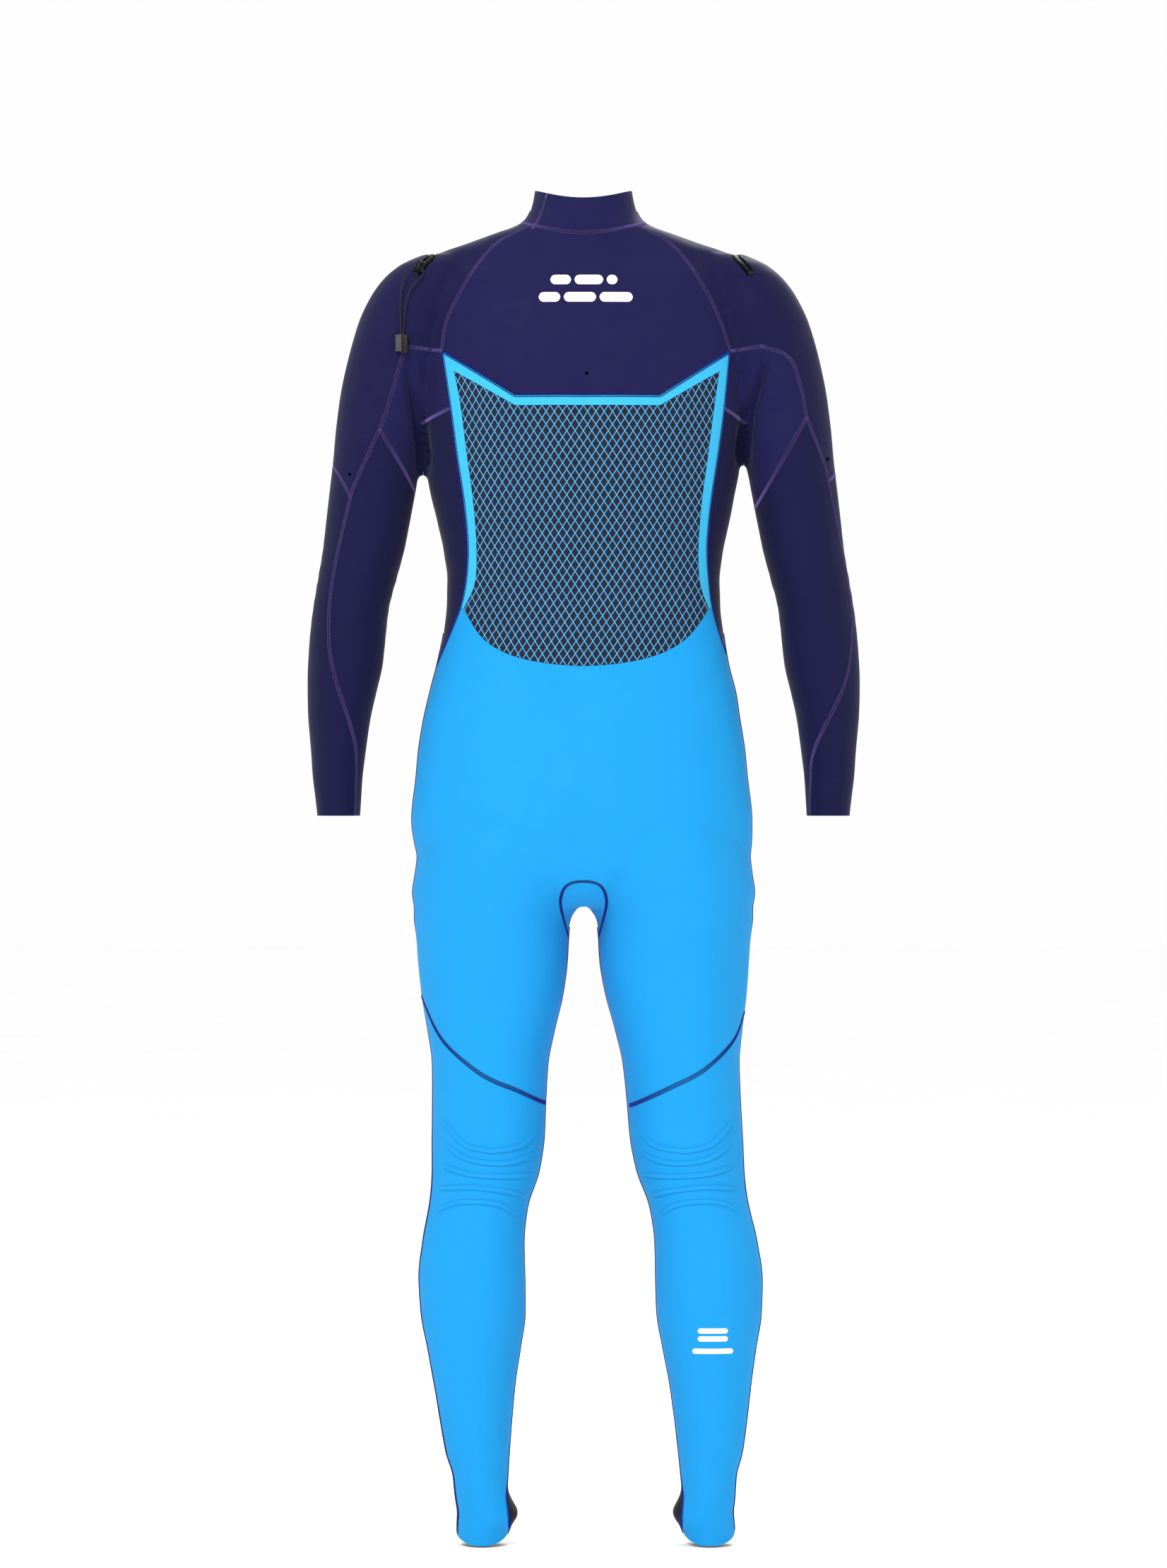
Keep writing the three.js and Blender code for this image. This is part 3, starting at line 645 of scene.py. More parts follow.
def seams():
    made = [
        Seam(across(NECK_BACK), "back"), Seam(across(NECK_FRONT), "front"),
        Seam(mirrored(COLLAR_SEAM), "back"), Seam(COLLAR_SEAM, "front"),
        Seam(swayed(across(FRAME_TOP)), "back", thread="blue"),
        Seam(swayed(across(FRAME_INNER)), "back", sewn=False),
        Seam(swayed(across(WAIST)), "back", sewn=False),
        Seam(swayed(across(WAIST)), "front", thread="blue"),
        Seam(across(CROTCH), "both", thread="fine", step=FINE_STEP),
        Seam(FRONT_MIDDLE, "front", thread="blue"),
    ]
    for side, sign in (("left", -1), ("right", 1)):
        def at(line, sign=sign):
            return mirrored(line) if sign < 0 else line

        arm, leg = f"arm_{side}", f"leg_{side}"
        sleeve, leg_seams = SLEEVE[side], (side_seam(side), INNER_LEG)
        corner, underarm = swayed(at(FRAME_SIDE))[:2]
        made += [
            Seam([*at(RAGLAN), corner], "back"),
            Seam(swayed(at(FRAME_SIDE)), "back", thread="blue"), Seam(swayed(at(FRAME_SIDE)), "front"),
            Seam(swayed(at(FRAME_FOOT)), "both", sewn=False),
            Seam([corner, *at(sleeve["main"][:1])], "both"),
            Seam([underarm, *at([UNDERARM])], "both"), Seam(at(UNDERARM_LOW), "both", sewn=False),
            Seam(at(sleeve["main"]), "both", arm), Seam(at(sleeve["inner"]), "both", arm),
            Seam(at(sleeve["outer"]), "both", arm),
            Seam(swayed(at(ABOVE_KNEE_BACK[side])), "back", leg, "blue", meets=leg_seams),
            Seam(swayed(at(ABOVE_KNEE_FRONT)), "front", leg, "blue", meets=leg_seams),
            Seam([*at(ARMHOLE_FRONT), corner], "front"),
            Seam(side_seam(side), "outer", leg, "blue", cross=(sign * DEPTH, SIDE_CUT[side])),
            Seam(SHOULDER_TOP, "top", cross=[sign * x for x in SHOULDER_SPAN]),
        ]
    made.append(Seam(INNER_LEG, "inner", "legs", "blue", cross=INNER_CUT))
    return made


def knee_pad_cut(side, sign):
    """The knee pad's lower edge: a cut that ends in the side and inner leg seams."""
    line = [(sign * x + float(sway_at(KNEE_PAD_FOOT)), KNEE_PAD_FOOT) for x in KNEE_PAD_SPAN]
    near = [depth_of(seam, KNEE_PAD_FOOT) - CUT_PAST for seam in (INNER_LEG, side_seam(side))]
    return wall(f"cut_knee_pad_{side}", line, SEAM_GAP, near, DEPTH)


def rim_at(x):
    """The height of the collar's rim."""
    return COLLAR_TOP - COLLAR_DIP * (1 - (x / COLLAR_HALF) ** 2)


def hem_at(y):
    """The height of the ankle hems."""
    return HEM_LOW + (y - HEEL_Y) * HEM_SLOPE


RIM_SIDE, RIM_PAST = 90, (60, 6)  # the half width of the block that cuts the rim, and its height there
HEM_SIDE, HEM_FOOT = 120, -80
CUFF_SIDE, CUFF_FOOT = 340, 700


def openings():
    """Blocks that cut the collar's rim, the cuffs and the ankle hems."""
    corner = [(-RIM_SIDE, COLLAR_TOP + past) for past in RIM_PAST]
    rim = [(x, rim_at(x)) for x in np.linspace(-COLLAR_HALF, COLLAR_HALF, RIM_POINTS)]
    rim = [*corner, *rim, *mirrored(corner)[::-1]]
    under = [(-HEM_SIDE, HEM_FOOT), (HEM_SIDE, HEM_FOOT)]
    under += [(HEM_SIDE, hem_at(HEM_SIDE)), (-HEM_SIDE, hem_at(-HEM_SIDE))]
    made = [block("cut_rim", rim, -DEPTH, DEPTH), block("cut_hems", under, -DEPTH, DEPTH, cross=True)]
    sleeve = [(ARM_ONLY, CUFF_FOOT), (CUFF_SIDE, CUFF_FOOT), (CUFF_SIDE, CUFF), (ARM_ONLY, CUFF)]
    for side in (-1, 1):
        end = [(side * x, z) for x, z in sleeve]
        made.append(block(f"cut_cuff_{side}", end, -DEPTH, DEPTH))
    return made


def drain_cutters():
    made = []
    for number, (x, height, side) in enumerate(DRAIN_HOLES):
        ring = [(x + DRAIN_R * math.cos(a), height + DRAIN_R * math.sin(a))
                for a in np.linspace(0, 2 * math.pi, DRAIN_SIDES, endpoint=False)]
        made.append(block(f"cut_drain_{number}", ring, 0, side * DEPTH))
    return made


def zip_walls(width, name="cut_zip", past=0):
    """The zip's strip: over the chest in front and down each shoulder's back, `past` its end there."""
    chest = spline(across(ZIP_FRONT[::-1]), ZIP_CHEST_STEP)
    made = [wall(f"{name}_front", chest, width, -ZIP_LAP, DEPTH)]
    for side in (-1, 1):
        line = spline([(side * x, z) for x, z in ZIP_BACK], ZIP_STEP)
        line[-1] += unit(line[-1] - line[-2]) * past
        made.append(wall(f"{name}_back_{side}", line, width, -DEPTH, ZIP_LAP))
    return made


def boolean(obj, others, operation):
    """Cuts or intersects obj with all the others at once, and removes them."""
    group = bpy.data.collections.new("operands")
    for other in others:
        group.objects.link(other)
    modifier = obj.modifiers.new("cut", "BOOLEAN")
    modifier.operand_type = "COLLECTION"
    modifier.collection = group
    modifier.operation = operation
    modifier.solver = "MANIFOLD"
    apply_modifiers(obj)
    remove(*others)
    bpy.data.collections.remove(group)
    return obj


def loose_parts(obj):
    """The object's unconnected pieces, as objects of their own."""
    before = set(bpy.data.objects)
    for other in bpy.context.selected_objects:
        other.select_set(False)
    obj.select_set(True)
    bpy.context.view_layer.objects.active = obj
    bpy.ops.mesh.separate(type="LOOSE")
    return [obj, *(o for o in bpy.data.objects if o not in before)]


# ---- Materials ----
class Maker:
    """A material under construction, with its shader's main node."""

    def __init__(self, name):
        self.material = bpy.data.materials.new(name)
        self.material.use_nodes = True
        self.tree = self.material.node_tree
        self.shader = self.tree.nodes["Principled BSDF"]

    def node(self, kind, out=0, settings=None, **inputs):
        """Adds a node and gives one output; inputs are named in_0, in_1 or by their socket."""
        made = self.tree.nodes.new("ShaderNode" + kind)
        for name, value in (settings or {}).items():
            setattr(made, name, value)
        for name, value in inputs.items():
            socket = made.inputs[int(name[3:]) if name.startswith("in_") else name]
            self.feed(socket, value)
        return made.outputs[out]

    def feed(self, socket, value):
        if isinstance(value, bpy.types.NodeSocket):
            self.tree.links.new(value, socket)
        elif isinstance(value, tuple) and len(value) == 3 and socket.type == "RGBA":
            socket.default_value = (*value, 1)
        else:
            socket.default_value = value

    def set(self, **inputs):
        for name, value in inputs.items():
            self.feed(self.shader.inputs[name.replace("_", " ")], value)

    def math(self, operation, *values):
        inputs = {f"in_{i}": v for i, v in enumerate(values)}
        return self.node("Math", settings={"operation": operation}, **inputs)

    def mix(self, share, a, b):
        """Mixes two colours, by way of a Mix node's colour sockets."""
        return self.node("Mix", out=2, settings={"data_type": "RGBA"}, in_0=share, in_6=a, in_7=b)

    def place(self):
        return self.node("TexCoord", out="Object")

    def axes(self, vector):
        return [self.node("SeparateXYZ", out=i, Vector=vector) for i in range(3)]

    def noise(self, scale, detail=2.0):
        return self.node("TexNoise", Vector=self.place(), Scale=scale, Detail=detail)

    def ramp(self, value, start, end, low=0.0, high=1.0):
        return self.node("MapRange", Value=value, in_1=start, in_2=end, in_3=low, in_4=high)

    def spread(self, value, low=0.0, high=1.0):
        """A noise's middle values, spread from low to high."""
        return self.ramp(value, 0.3, 0.7, low, high)

    def weave(self, one, other):
        """Two waves from -1 to 1 multiplied, as a height from 0 to 1."""
        return self.math("MULTIPLY_ADD", self.math("MULTIPLY", one, other), 0.5, 0.5)

    def soft(self, sheen, bloom, gloss):
        """A cloth's faint bloom at a grazing angle, how rough that is, and how much the cloth shines."""
        self.set(Sheen_Weight=sheen, Sheen_Roughness=bloom, Specular_IOR_Level=gloss)

    def bump(self, height, strength, distance):
        self.set(Normal=self.node("Bump", Strength=strength, Distance=distance, Height=height))


KNIT = 1.25e-3  # distance between two courses of the jersey's loops


def knit(maker):
    """Rows of loops, as a height from 0 to 1."""
    x, y, z = maker.axes(maker.place())
    turn = 2 * math.pi / KNIT
    girth = maker.math("MULTIPLY", maker.math("ADD", x, y), turn)
    rise = maker.math("MULTIPLY", z, turn)
    return maker.weave(maker.math("SINE", girth), maker.math("COSINE", rise))


def shades(colour, low, high):
    return tuple(c * low for c in colour), tuple(min(1.0, c * high) for c in colour)


def jersey(name, colour, contrast=0.06, sheen=0.05, depth=0.25):
    """Knitted nylon laminated to foam: fine loops, a soft bloom and slightly uneven dye."""
    m = Maker(name)
    loops = knit(m)
    dark, light = shades(colour, 1 - contrast, 1 + contrast)
    patch = m.spread(m.noise(9.0, 3.0))
    fleck = m.spread(m.noise(900.0, 1.0))
    dyed = m.mix(patch, dark, light)
    deep, high = shades(colour, 1 - 1.6 * contrast, 1 + 1.6 * contrast)
    yarn = m.mix(m.math("MULTIPLY", loops, 0.6), deep, high)
    m.set(Base_Color=m.mix(m.math("MULTIPLY_ADD", fleck, 0.3, 0.25), dyed, yarn))
    m.set(Roughness=m.spread(m.noise(40.0), 0.74, 0.86))
    m.soft(sheen, 0.45, 0.1)
    grain = m.math("MULTIPLY_ADD", m.noise(260.0, 2.0), 0.5, m.math("MULTIPLY", loops, 0.5))
    m.bump(grain, depth, 0.0004)
    return m.material


LATTICE_WIDE, LATTICE_HIGH = 9.3e-3, 14.2e-3  # a diamond
LATTICE_THICK, LATTICE_SOFT = 0.12, 0.012  # its line and the line's soft edge, as shares of it


def lattice(name):
    """Dark jersey printed with a diamond lattice; the UV map holds metres on the flat cloth."""
    m = Maker(name)
    across, up, _ = m.axes(m.node("UVMap", settings={"uv_map": "flat"}))
    u, v = m.math("DIVIDE", across, LATTICE_WIDE), m.math("DIVIDE", up, LATTICE_HIGH)
    lines = None
    for way in ("ADD", "SUBTRACT"):
        from_line = m.math("ABSOLUTE", m.math("SUBTRACT", m.math("FRACT", m.math(way, u, v)), 0.5))
        edge = 0.5 - LATTICE_THICK / 2
        line = m.ramp(from_line, edge - LATTICE_SOFT, edge + LATTICE_SOFT)
        lines = line if lines is None else m.math("MAXIMUM", lines, line)
    loops = knit(m)
    fill = m.mix(loops, *shades(LATTICE_FILL, 0.82, 1.18))
    ink = m.mix(m.spread(m.noise(700.0)), *shades(LATTICE_LINE, 0.92, 1.06))
    m.set(Base_Color=m.mix(lines, fill, ink), Roughness=0.8)
    m.soft(0.05, 0.45, 0.1)
    raised = m.math("MULTIPLY_ADD", lines, 0.8, m.math("MULTIPLY", loops, 0.35))
    m.bump(raised, 0.4, 0.0003)
    return m.material


PAD_CELL = 5.5e-3  # width of a cell in the knee pads' moulded pattern


def knee_pad_rubber(name):
    """Abrasion-resistant jersey moulded into small cells with grooves between them, the grooves painted
    darker as shade.
    """
    m = Maker(name)
    cells = m.node("TexVoronoi", settings={"feature": "DISTANCE_TO_EDGE"}, Vector=m.place(),
                   Scale=1 / PAD_CELL, Randomness=0.35)
    plateau = m.ramp(cells, 0.03, 0.12)
    # Painted shade: the grooves are coloured darker than the cells' tops.
    m.set(Base_Color=m.mix(plateau, (0.0010, 0.0011, 0.0014), (0.0034, 0.0036, 0.0046)))
    m.set(Roughness=0.75)
    m.soft(0.05, 0.45, 0.12)
    m.bump(m.math("MULTIPLY_ADD", knit(m), 0.15, plateau), 0.8, 0.0008)
    return m.material


def foam(name):
    """The cut edge of closed-cell rubber: dull, with fine pores."""
    m = Maker(name)
    pores = m.node("TexVoronoi", Vector=m.place(), Scale=1400.0)
    m.set(Base_Color=m.mix(pores, *shades((0.0060, 0.0060, 0.0070), 0.6, 1.4)), Roughness=0.9)
    m.bump(pores, 0.5, 0.0002)
    return m.material


def thread(name, colour):
    """Twisted polyester thread."""
    m = Maker(name)
    twist = m.node("TexWave", Vector=m.place(), Scale=420.0, Distortion=2.0)
    m.set(Base_Color=m.mix(twist, *shades(colour, 0.7, 1.25)), Roughness=0.55)
    m.soft(0.05, 0.4, 0.25)
    m.bump(twist, 0.5, 0.0002)
    return m.material


WEAVE = 0.9e-3  # distance between two threads of the zip's tape


def woven_tape(name):
    """Tightly woven polyester, with its threads on the bias."""
    m = Maker(name)
    x, y, z = m.axes(m.place())
    turn = 2 * math.pi / WEAVE
    weft = m.math("SINE", m.math("MULTIPLY", m.math("ADD", z, m.math("MULTIPLY", y, 0.6)), turn))
    warp = m.math("SINE", m.math("MULTIPLY", m.math("SUBTRACT", x, m.math("MULTIPLY", y, 0.4)), turn))
    weave = m.weave(weft, warp)
    m.set(Base_Color=m.mix(weave, (0.0012, 0.0012, 0.0015), (0.0040, 0.0040, 0.0048)), Roughness=0.9)
    m.soft(0.02, 0.4, 0.02)
    m.bump(weave, 0.6, 0.0003)
    return m.material


def plastic(name, colour, rough, wear_and_highlight):
    """Moulded plastic: a fine spark-eroded grain, and edges painted lighter, partly as rubbed wear and
    partly as a painted highlight.
    """
    m = Maker(name)
    # Convex edges coloured lighter: partly rubbed wear, partly a painted highlight.
    rubbed_and_highlit_edges = m.ramp(m.node("NewGeometry", out="Pointiness"), 0.5, 0.62)
    scuff_and_highlight = m.math("MULTIPLY", rubbed_and_highlit_edges, m.spread(m.noise(300.0), 0.2, 1.0))
    m.set(Base_Color=m.mix(scuff_and_highlight, colour, wear_and_highlight))
    m.set(Roughness=m.spread(m.noise(120.0), rough - 0.08, rough + 0.08), Specular_IOR_Level=0.15)
    m.bump(m.noise(1500.0, 3.0), 0.25, 0.00015)
    return m.material


def ink(name):
    """Thick screen-printed ink with the jersey's loops showing through it."""
    m = Maker(name)
    worn = m.spread(m.noise(500.0, 3.0), 0.9, 1.0)
    m.set(Base_Color=m.mix(worn, (0.7, 0.72, 0.76), PRINT_WHITE), Roughness=0.5)
    m.bump(knit(m), 0.25, 0.0003)
    return m.material


MATERIALS = {
    "navy": jersey("navy_jersey", NAVY),
    # Painted shade: a darker copy of the navy jersey for the side and sleeve panels.
    "navy_shaded_side": jersey("navy_shaded_side_jersey", NAVY_SHADED_SIDE),
    # Painted shade: a darker copy of the navy jersey for the shoulder panels.
    "navy_shaded_shoulder": jersey("navy_shaded_shoulder_jersey", NAVY_SHADED_SHOULDER, contrast=0.1),
    "blue": jersey("blue_jersey", BLUE, contrast=0.025, sheen=0.02),
    "trim": jersey("trim_jersey", TRIM, contrast=0.03),
    "lattice": lattice("lattice_jersey"),
    "black": jersey("black_jersey", BLACK, contrast=0.15),
    "pad": knee_pad_rubber("knee_pad_jersey"),
    "lining": jersey("lining_jersey", (0.014, 0.014, 0.018), contrast=0.2, depth=0.5),
    "foam": foam("foam_edge"),
    "purple_thread": thread("purple_thread", PURPLE_THREAD),
    "purple_row": thread("purple_row", PURPLE_ROW),
    "blue_thread": thread("blue_thread", BLUE_THREAD),
    "blue_row": thread("blue_row", BLUE_ROW),
    "fine_thread": thread("fine_thread", BLUE_THREAD),
    "fine_row": thread("fine_row", BLUE_ROW),
    "tape": woven_tape("zip_tape_weave"),
    # Each plastic's last colour is that of its edges: their wear and a painted highlight.
    "teeth": plastic("zip_teeth_plastic", (0.0035, 0.0035, 0.0040), 0.45, (0.012, 0.012, 0.012)),
    "slider": plastic("slider_plastic", (0.0045, 0.0045, 0.0050), 0.42, (0.025, 0.025, 0.025)),
    "toggle": plastic("toggle_plastic", (0.034, 0.032, 0.031), 0.5, (0.09, 0.09, 0.085)),
    "cord": thread("cord_braid", (0.0050, 0.0050, 0.0055)),
    "ink": ink("white_print"),
}

# ---- Panels ----
# Each panel: a point on it as (x, height), the side that is seen, its finish, and its flat cut as
# (width, length) in millimetres.
PANELS = {
    "collar_back": (20, 1505, "back", "navy", (200, 60)),
    "collar_front": (-20, 1500, "front", "navy", (215, 70)),
    "back_yoke": (0, 1400, "back", "navy", (365, 215)),
    "back_frame_trim": (0, 1290, "back", "trim", (13.5, 920)),
    "back_lattice_panel": (0, 1150, "back", "lattice", (330, 345)),
    "entry_flap": (0, 1400, "front", "navy", (360, 190)),
    "chest_panel": (0, 1200, "front", "navy", (430, 460)),
    "seat_panel": (0, 900, "back", "blue", (540, 570)),
    "crotch_gusset": (0, 735, "back", "blue", (70, 225)),
}
for hand, sign, shoulder, underarm, outer in (
    ("left", -1, (-190, 1380), (-180, 1310), (-290, 1110)),
    ("right", 1, (190, 1385), (190, 1310), (285, 1185)),
):
    knee_x = RIB_MIDDLE[hand]
    for name, spot, seen, finish, flat in (
        # The shoulder panels take the navy with painted shade.
        ("shoulder_panel", shoulder, "back", "navy_shaded_shoulder", (330, 290)),
        ("underarm_panel", underarm, "back", "navy", (300, 150)),
        # The side and sleeve panels take the navy with painted shade.
        ("side_panel", (sign * 149, 1130), "back", "navy_shaded_side", (120, 330)),
        ("sleeve_inner", (sign * 240, 1090), "back", "navy_shaded_side", (200, 460)),
        ("sleeve_outer", outer, "back", "navy_shaded_side", (180, 430)),
        ("thigh_front_panel", (sign * 90, 800), "front", "blue", (260, 500)),
        ("knee_pad", (knee_x, 430), "front", "pad", (205, 200)),
        ("shin_panel", (knee_x + 12 * sign, 250), "front", "black", (190, 350)),
        ("lower_leg_back", (knee_x, 430), "back", "blue", (225, 650)),
    ):
        PANELS[f"{name}_{hand}"] = (*spot, seen, finish, flat)
# The CAD nodes of the panels that the CAD cuts in two at a joint; the others share one name with it.
CUT_IN_TWO = {
    "sleeve_inner": ("elbow_panel_inner", "forearm_panel_inner"),
    "sleeve_outer": ("elbow_panel_outer", "forearm_panel_outer"),
    "lower_leg_back": ("knee_back_panel", "calf_panel"),
}
BENDING = {"sleeve_inner": "arm", "sleeve_outer": "arm", "knee_pad": "leg", "shin_panel": "leg",
           "lower_leg_back": "leg"}  # the panels that bend across a joint


def attach(piece, limb=None):
    """Puts a piece on the torso's body; for an arm or a leg it only bakes the piece's transform."""
    if limb is None:
        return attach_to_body(piece, "root")
    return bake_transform(piece)


def attach_group(piece, group):
    """Puts what is on a group of seams where attach() puts it: "torso", or a limb with its side, such as
    "arm_left".
    """
    limb, _, hand = group.partition("_")
    attach(piece, limb if hand else None)


def belongs(piece, slot, body, *nodes):
    """Puts a piece on one body and hides the CAD nodes that it stands for; its material slot is not
    used.
    """
    if nodes:
        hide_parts(*nodes)
    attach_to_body(piece, body)


def tree_of(obj):
    return BVHTree.FromPolygons([v.co for v in obj.data.vertices], faces_of(obj))


LATTICE_BEND = 0.26  # radius that the back panel wraps round, in metres


def flat_uv(piece):
    """Lays the back panel flat: its UV map holds the cloth's own metres."""
    layer = piece.data.uv_layers.new(name="flat")
    corners = np.empty(len(piece.data.loops), int)
    piece.data.loops.foreach_get("vertex_index", corners)
    co = coordinates(piece.data)[corners]
    middle = sway_at(co[:, 2] * 1000 + COLLAR_TOP) / 1000
    around = LATTICE_BEND * np.arcsin(np.clip((co[:, 0] - middle) / LATTICE_BEND, -1, 1))
    layer.data.foreach_set("uv", np.stack([around, co[:, 2]], axis=1).ravel())


def dress_panels(parts):
    """Finds each panel among the cut parts, gives it its looks, hides the CAD nodes that it stands for,
    and puts it on the torso's body or bakes it in place on a limb.
    """
    trees = [(part, tree_of(part)) for part in parts]
    used = {}
    for name, (x, height, side, finish, flat) in PANELS.items():
        facing = 1 if side == "back" else -1
        start, way = place(x, -facing * FAR, height), Vector((0, facing, 0))
        hits = [(tree.ray_cast(start, way)[3], part) for part, tree in trees]
        hits = [(far, part) for far, part in hits if far is not None]
        _, piece = min(hits, key=lambda hit: hit[0])
        if piece in used:
            raise ValueError(f"{name} was not cut free of {used[piece]}")
        piece.name = f"{name}_cloth"
        used[piece] = name
        for slot, look in enumerate((finish, "lining", "foam")):
            piece.data.materials[slot] = MATERIALS[look]
        if finish == "lattice":
            flat_uv(piece)
        shade(piece)
        base, _, hand = name.rpartition("_")
        nodes = [f"{node}_{hand}" for node in CUT_IN_TWO.get(base, ())] or [name]
        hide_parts(*nodes)
        attach(piece, BENDING.get(base))
    remove(*(part for part in parts if part not in used))


# ---- Stitching ----
class Surface:
    """The outside of the suit, for laying things on it."""

    def __init__(self, body):
        self.tree = tree_of(body)

    def hit(self, start, way):
        spot, normal, _, _ = self.tree.ray_cast(start, Vector(way))
        return None if spot is None else (np.array(spot), np.array(normal))

    def back(self, x, height):
        return self.hit(place(x, -FAR, height), (0, 1, 0))

    def front(self, x, height):
        return self.hit(place(x, FAR, height), (0, -1, 0))

    def top(self, x, y):
        return self.hit(place(x, y, COLLAR_TOP + FAR), (0, 0, -1))

    def outer(self, y, height, sign):
        """The side of the torso or leg, seen from between it and the arm."""
        return self.hit(place(sign * BETWEEN_ARM, y, height), (-sign, 0, 0))

    def inner(self, y, height, sign):
        """The inner side of a leg."""
        return self.hit(place(float(sway_at(height)), y, height), (sign, 0, 0))


def on_suit(spot):
    """Whether a point of the uncut surface is still there once the rim, cuffs and hems are cut."""
    x, y, z = spot[0] * 1000, spot[1] * 1000, spot[2] * 1000 + COLLAR_TOP
    if z > NECK_ONLY:
        return z < rim_at(x) - TRIM_PAST
    if abs(x) > ARM_ONLY and z < CUFF + TRIM_PAST:
        return False
    return z > hem_at(y) + TRIM_PAST


RUN_GAP, RUN_LEAST = 0.02, 4  # a longer step starts a new run; the fewest points that make one


def runs_of(points):
    """Splits a list of hits, in which None is a gap, into unbroken runs."""
    runs = [[]]
    for point in points:
        there = point is not None and on_suit(point[0])
        if not there or (runs[-1] and np.linalg.norm(point[0] - runs[-1][-1][0]) >= RUN_GAP):
            runs.append([])
        if there:
            runs[-1].append(point)
    return [run for run in runs if len(run) >= RUN_LEAST]


RUN_STEP = 3


def seam_runs(surface, seam):
    """Where a seam lies on the outside, as runs of (point, normal)."""
    line = spline(seam.line, RUN_STEP)
    found = []
    if seam.side in ("back", "both"):
        found.append([surface.back(x, z) for x, z in line])
    if seam.side in ("front", "both"):
        found.append([surface.front(x, z) for x, z in line])
    if seam.side == "outer":
        sign = -1 if seam.group.endswith("left") else 1
        found.append([surface.outer(y, z, sign) for y, z in line])
    if seam.side == "top":
        sign = 1 if seam.cross[0] > 0 else -1
        found.append([surface.top(sign * x, 0) for x in np.arange(*SHOULDER_SEWN, RUN_STEP)])
    if seam.side == "inner":
        for sign in (-1, 1):
            found.append([surface.inner(y, z, sign) for y, z in line])
    return [run for hits in found for run in runs_of(hits)]


def resampled(run, step):
    """A run's points and normals at even distances, with smoothed normals."""
    spots = np.array([p for p, _ in run])
    normals = np.array([n for _, n in run])
    padded = np.vstack([normals[:1], normals, normals[-1:]])
    normals = padded[:-2] + padded[1:-1] + padded[2:]
    along = np.concatenate([[0], np.cumsum(np.linalg.norm(np.diff(spots, axis=0), axis=1))])
    places = np.arange(0, along[-1], step)
    spots = np.stack([np.interp(places, along, spots[:, i]) for i in range(3)], axis=1)
    normals = np.stack([np.interp(places, along, normals[:, i]) for i in range(3)], axis=1)
    return spots, unit(normals)


def directions(spots):
    return unit(np.gradient(spots, axis=0))


THREAD_SIDES, ROW_SIDES, TAPE_SIDES = 5, 4, 6
ROW_EVERY = 3  # an edge row has a section at every third half stitch


class Threads:
    """Many thin tubes in one mesh; a radius of two numbers makes a flat one, wide and thick."""

    def __init__(self):
        self.vertices, self.faces, self.kinds = [], [], []

    def add(self, spots, normals, radius, around, kind=0):
        if len(spots) < 2:
            return
        way = directions(spots)
        side = unit(np.cross(way, normals))
        up = np.cross(side, way)
        wide, thick = np.broadcast_to(radius, 2)
        base = len(self.vertices)
        for i in range(len(spots)):
            for k in range(around):
                turn = 2 * math.pi * k / around
                self.vertices.append(
                    spots[i] + wide * math.cos(turn) * side[i] + thick * math.sin(turn) * up[i])
        rings = tube_rings(len(spots), around, base=base)
        self.faces += rings
        self.kinds += [kind] * len(rings)

    def build(self, name, *materials):
        made = new_object(name, self.vertices, self.faces)
        for material in materials:
            made.data.materials.append(material)
        made.data.polygons.foreach_set("material_index", self.kinds)
        shade(made, THREAD_ANGLE)
        return made


def flatlock(threads, run, band):
    """A cover seam: a zigzag between two edge rows."""
    spots, normals = resampled(run, STITCH / 2000)
    if len(spots) <= ROW_EVERY:
        return
    side = np.cross(directions(spots), normals)
    sway = np.where(np.arange(len(spots)) % 2, 1, -1)[:, None] * band / 2000
    lift = normals * THREAD_R * THREAD_LIFT / 1000
    threads.add(spots + side * sway + lift, normals, THREAD_R / 1000, THREAD_SIDES)
    thin, up, side = spots[::ROW_EVERY], normals[::ROW_EVERY], side[::ROW_EVERY]
    for edge in (-1, 1):
        row = thin + side * edge * band / 2000 + up * ROW_R * ROW_LIFT / 1000
        threads.add(row, up, ROW_R / 1000, ROW_SIDES, kind=1)


def taped(tapes, run, half_wide=SEAM_TAPE[0]):
    """The tape that is glued under a seam, inside the suit."""
    spots, normals = resampled(run, TAPE_STEP / 1000)
    _, thick, below = SEAM_TAPE
    spots = spots - normals * (WALL + below) / 1000
    tapes.add(spots, normals, (half_wide / 1000, thick / 1000), TAPE_SIDES)


def stitch(surface, all_seams):
    """Sews and tapes every seam; each group of seams rides on the torso's body, or is baked in place on
    a limb.
    """
    threads, tapes = {}, {}
    for seam in all_seams:
        for run in seam_runs(surface, seam):
            group = seam.group
            if group == "legs":
                group = "leg_left" if run[0][0][0] < 0 else "leg_right"
            taped(tapes.setdefault(group, Threads()), run)
            if seam.sewn:
                flatlock(threads.setdefault((group, seam.thread), Threads()), run, BAND[seam.thread])
    for group, made in tapes.items():
        piece = made.build(f"seam_tape_{group}", MATERIALS["lining"])
        attach_group(piece, group)
    for (group, colour), made in threads.items():
        looks = (MATERIALS[f"{colour}_thread"], MATERIALS[f"{colour}_row"])
        piece = made.build(f"stitching_{group}_{colour}", *looks)
        attach_group(piece, group)


# ---- Ribs and prints ----
def closed_piece(name, vertices, faces, material):
    made = closed(new_object(name, vertices, faces))
    paint(made, material)
    shade(made, RAISED_ANGLE)
    return made


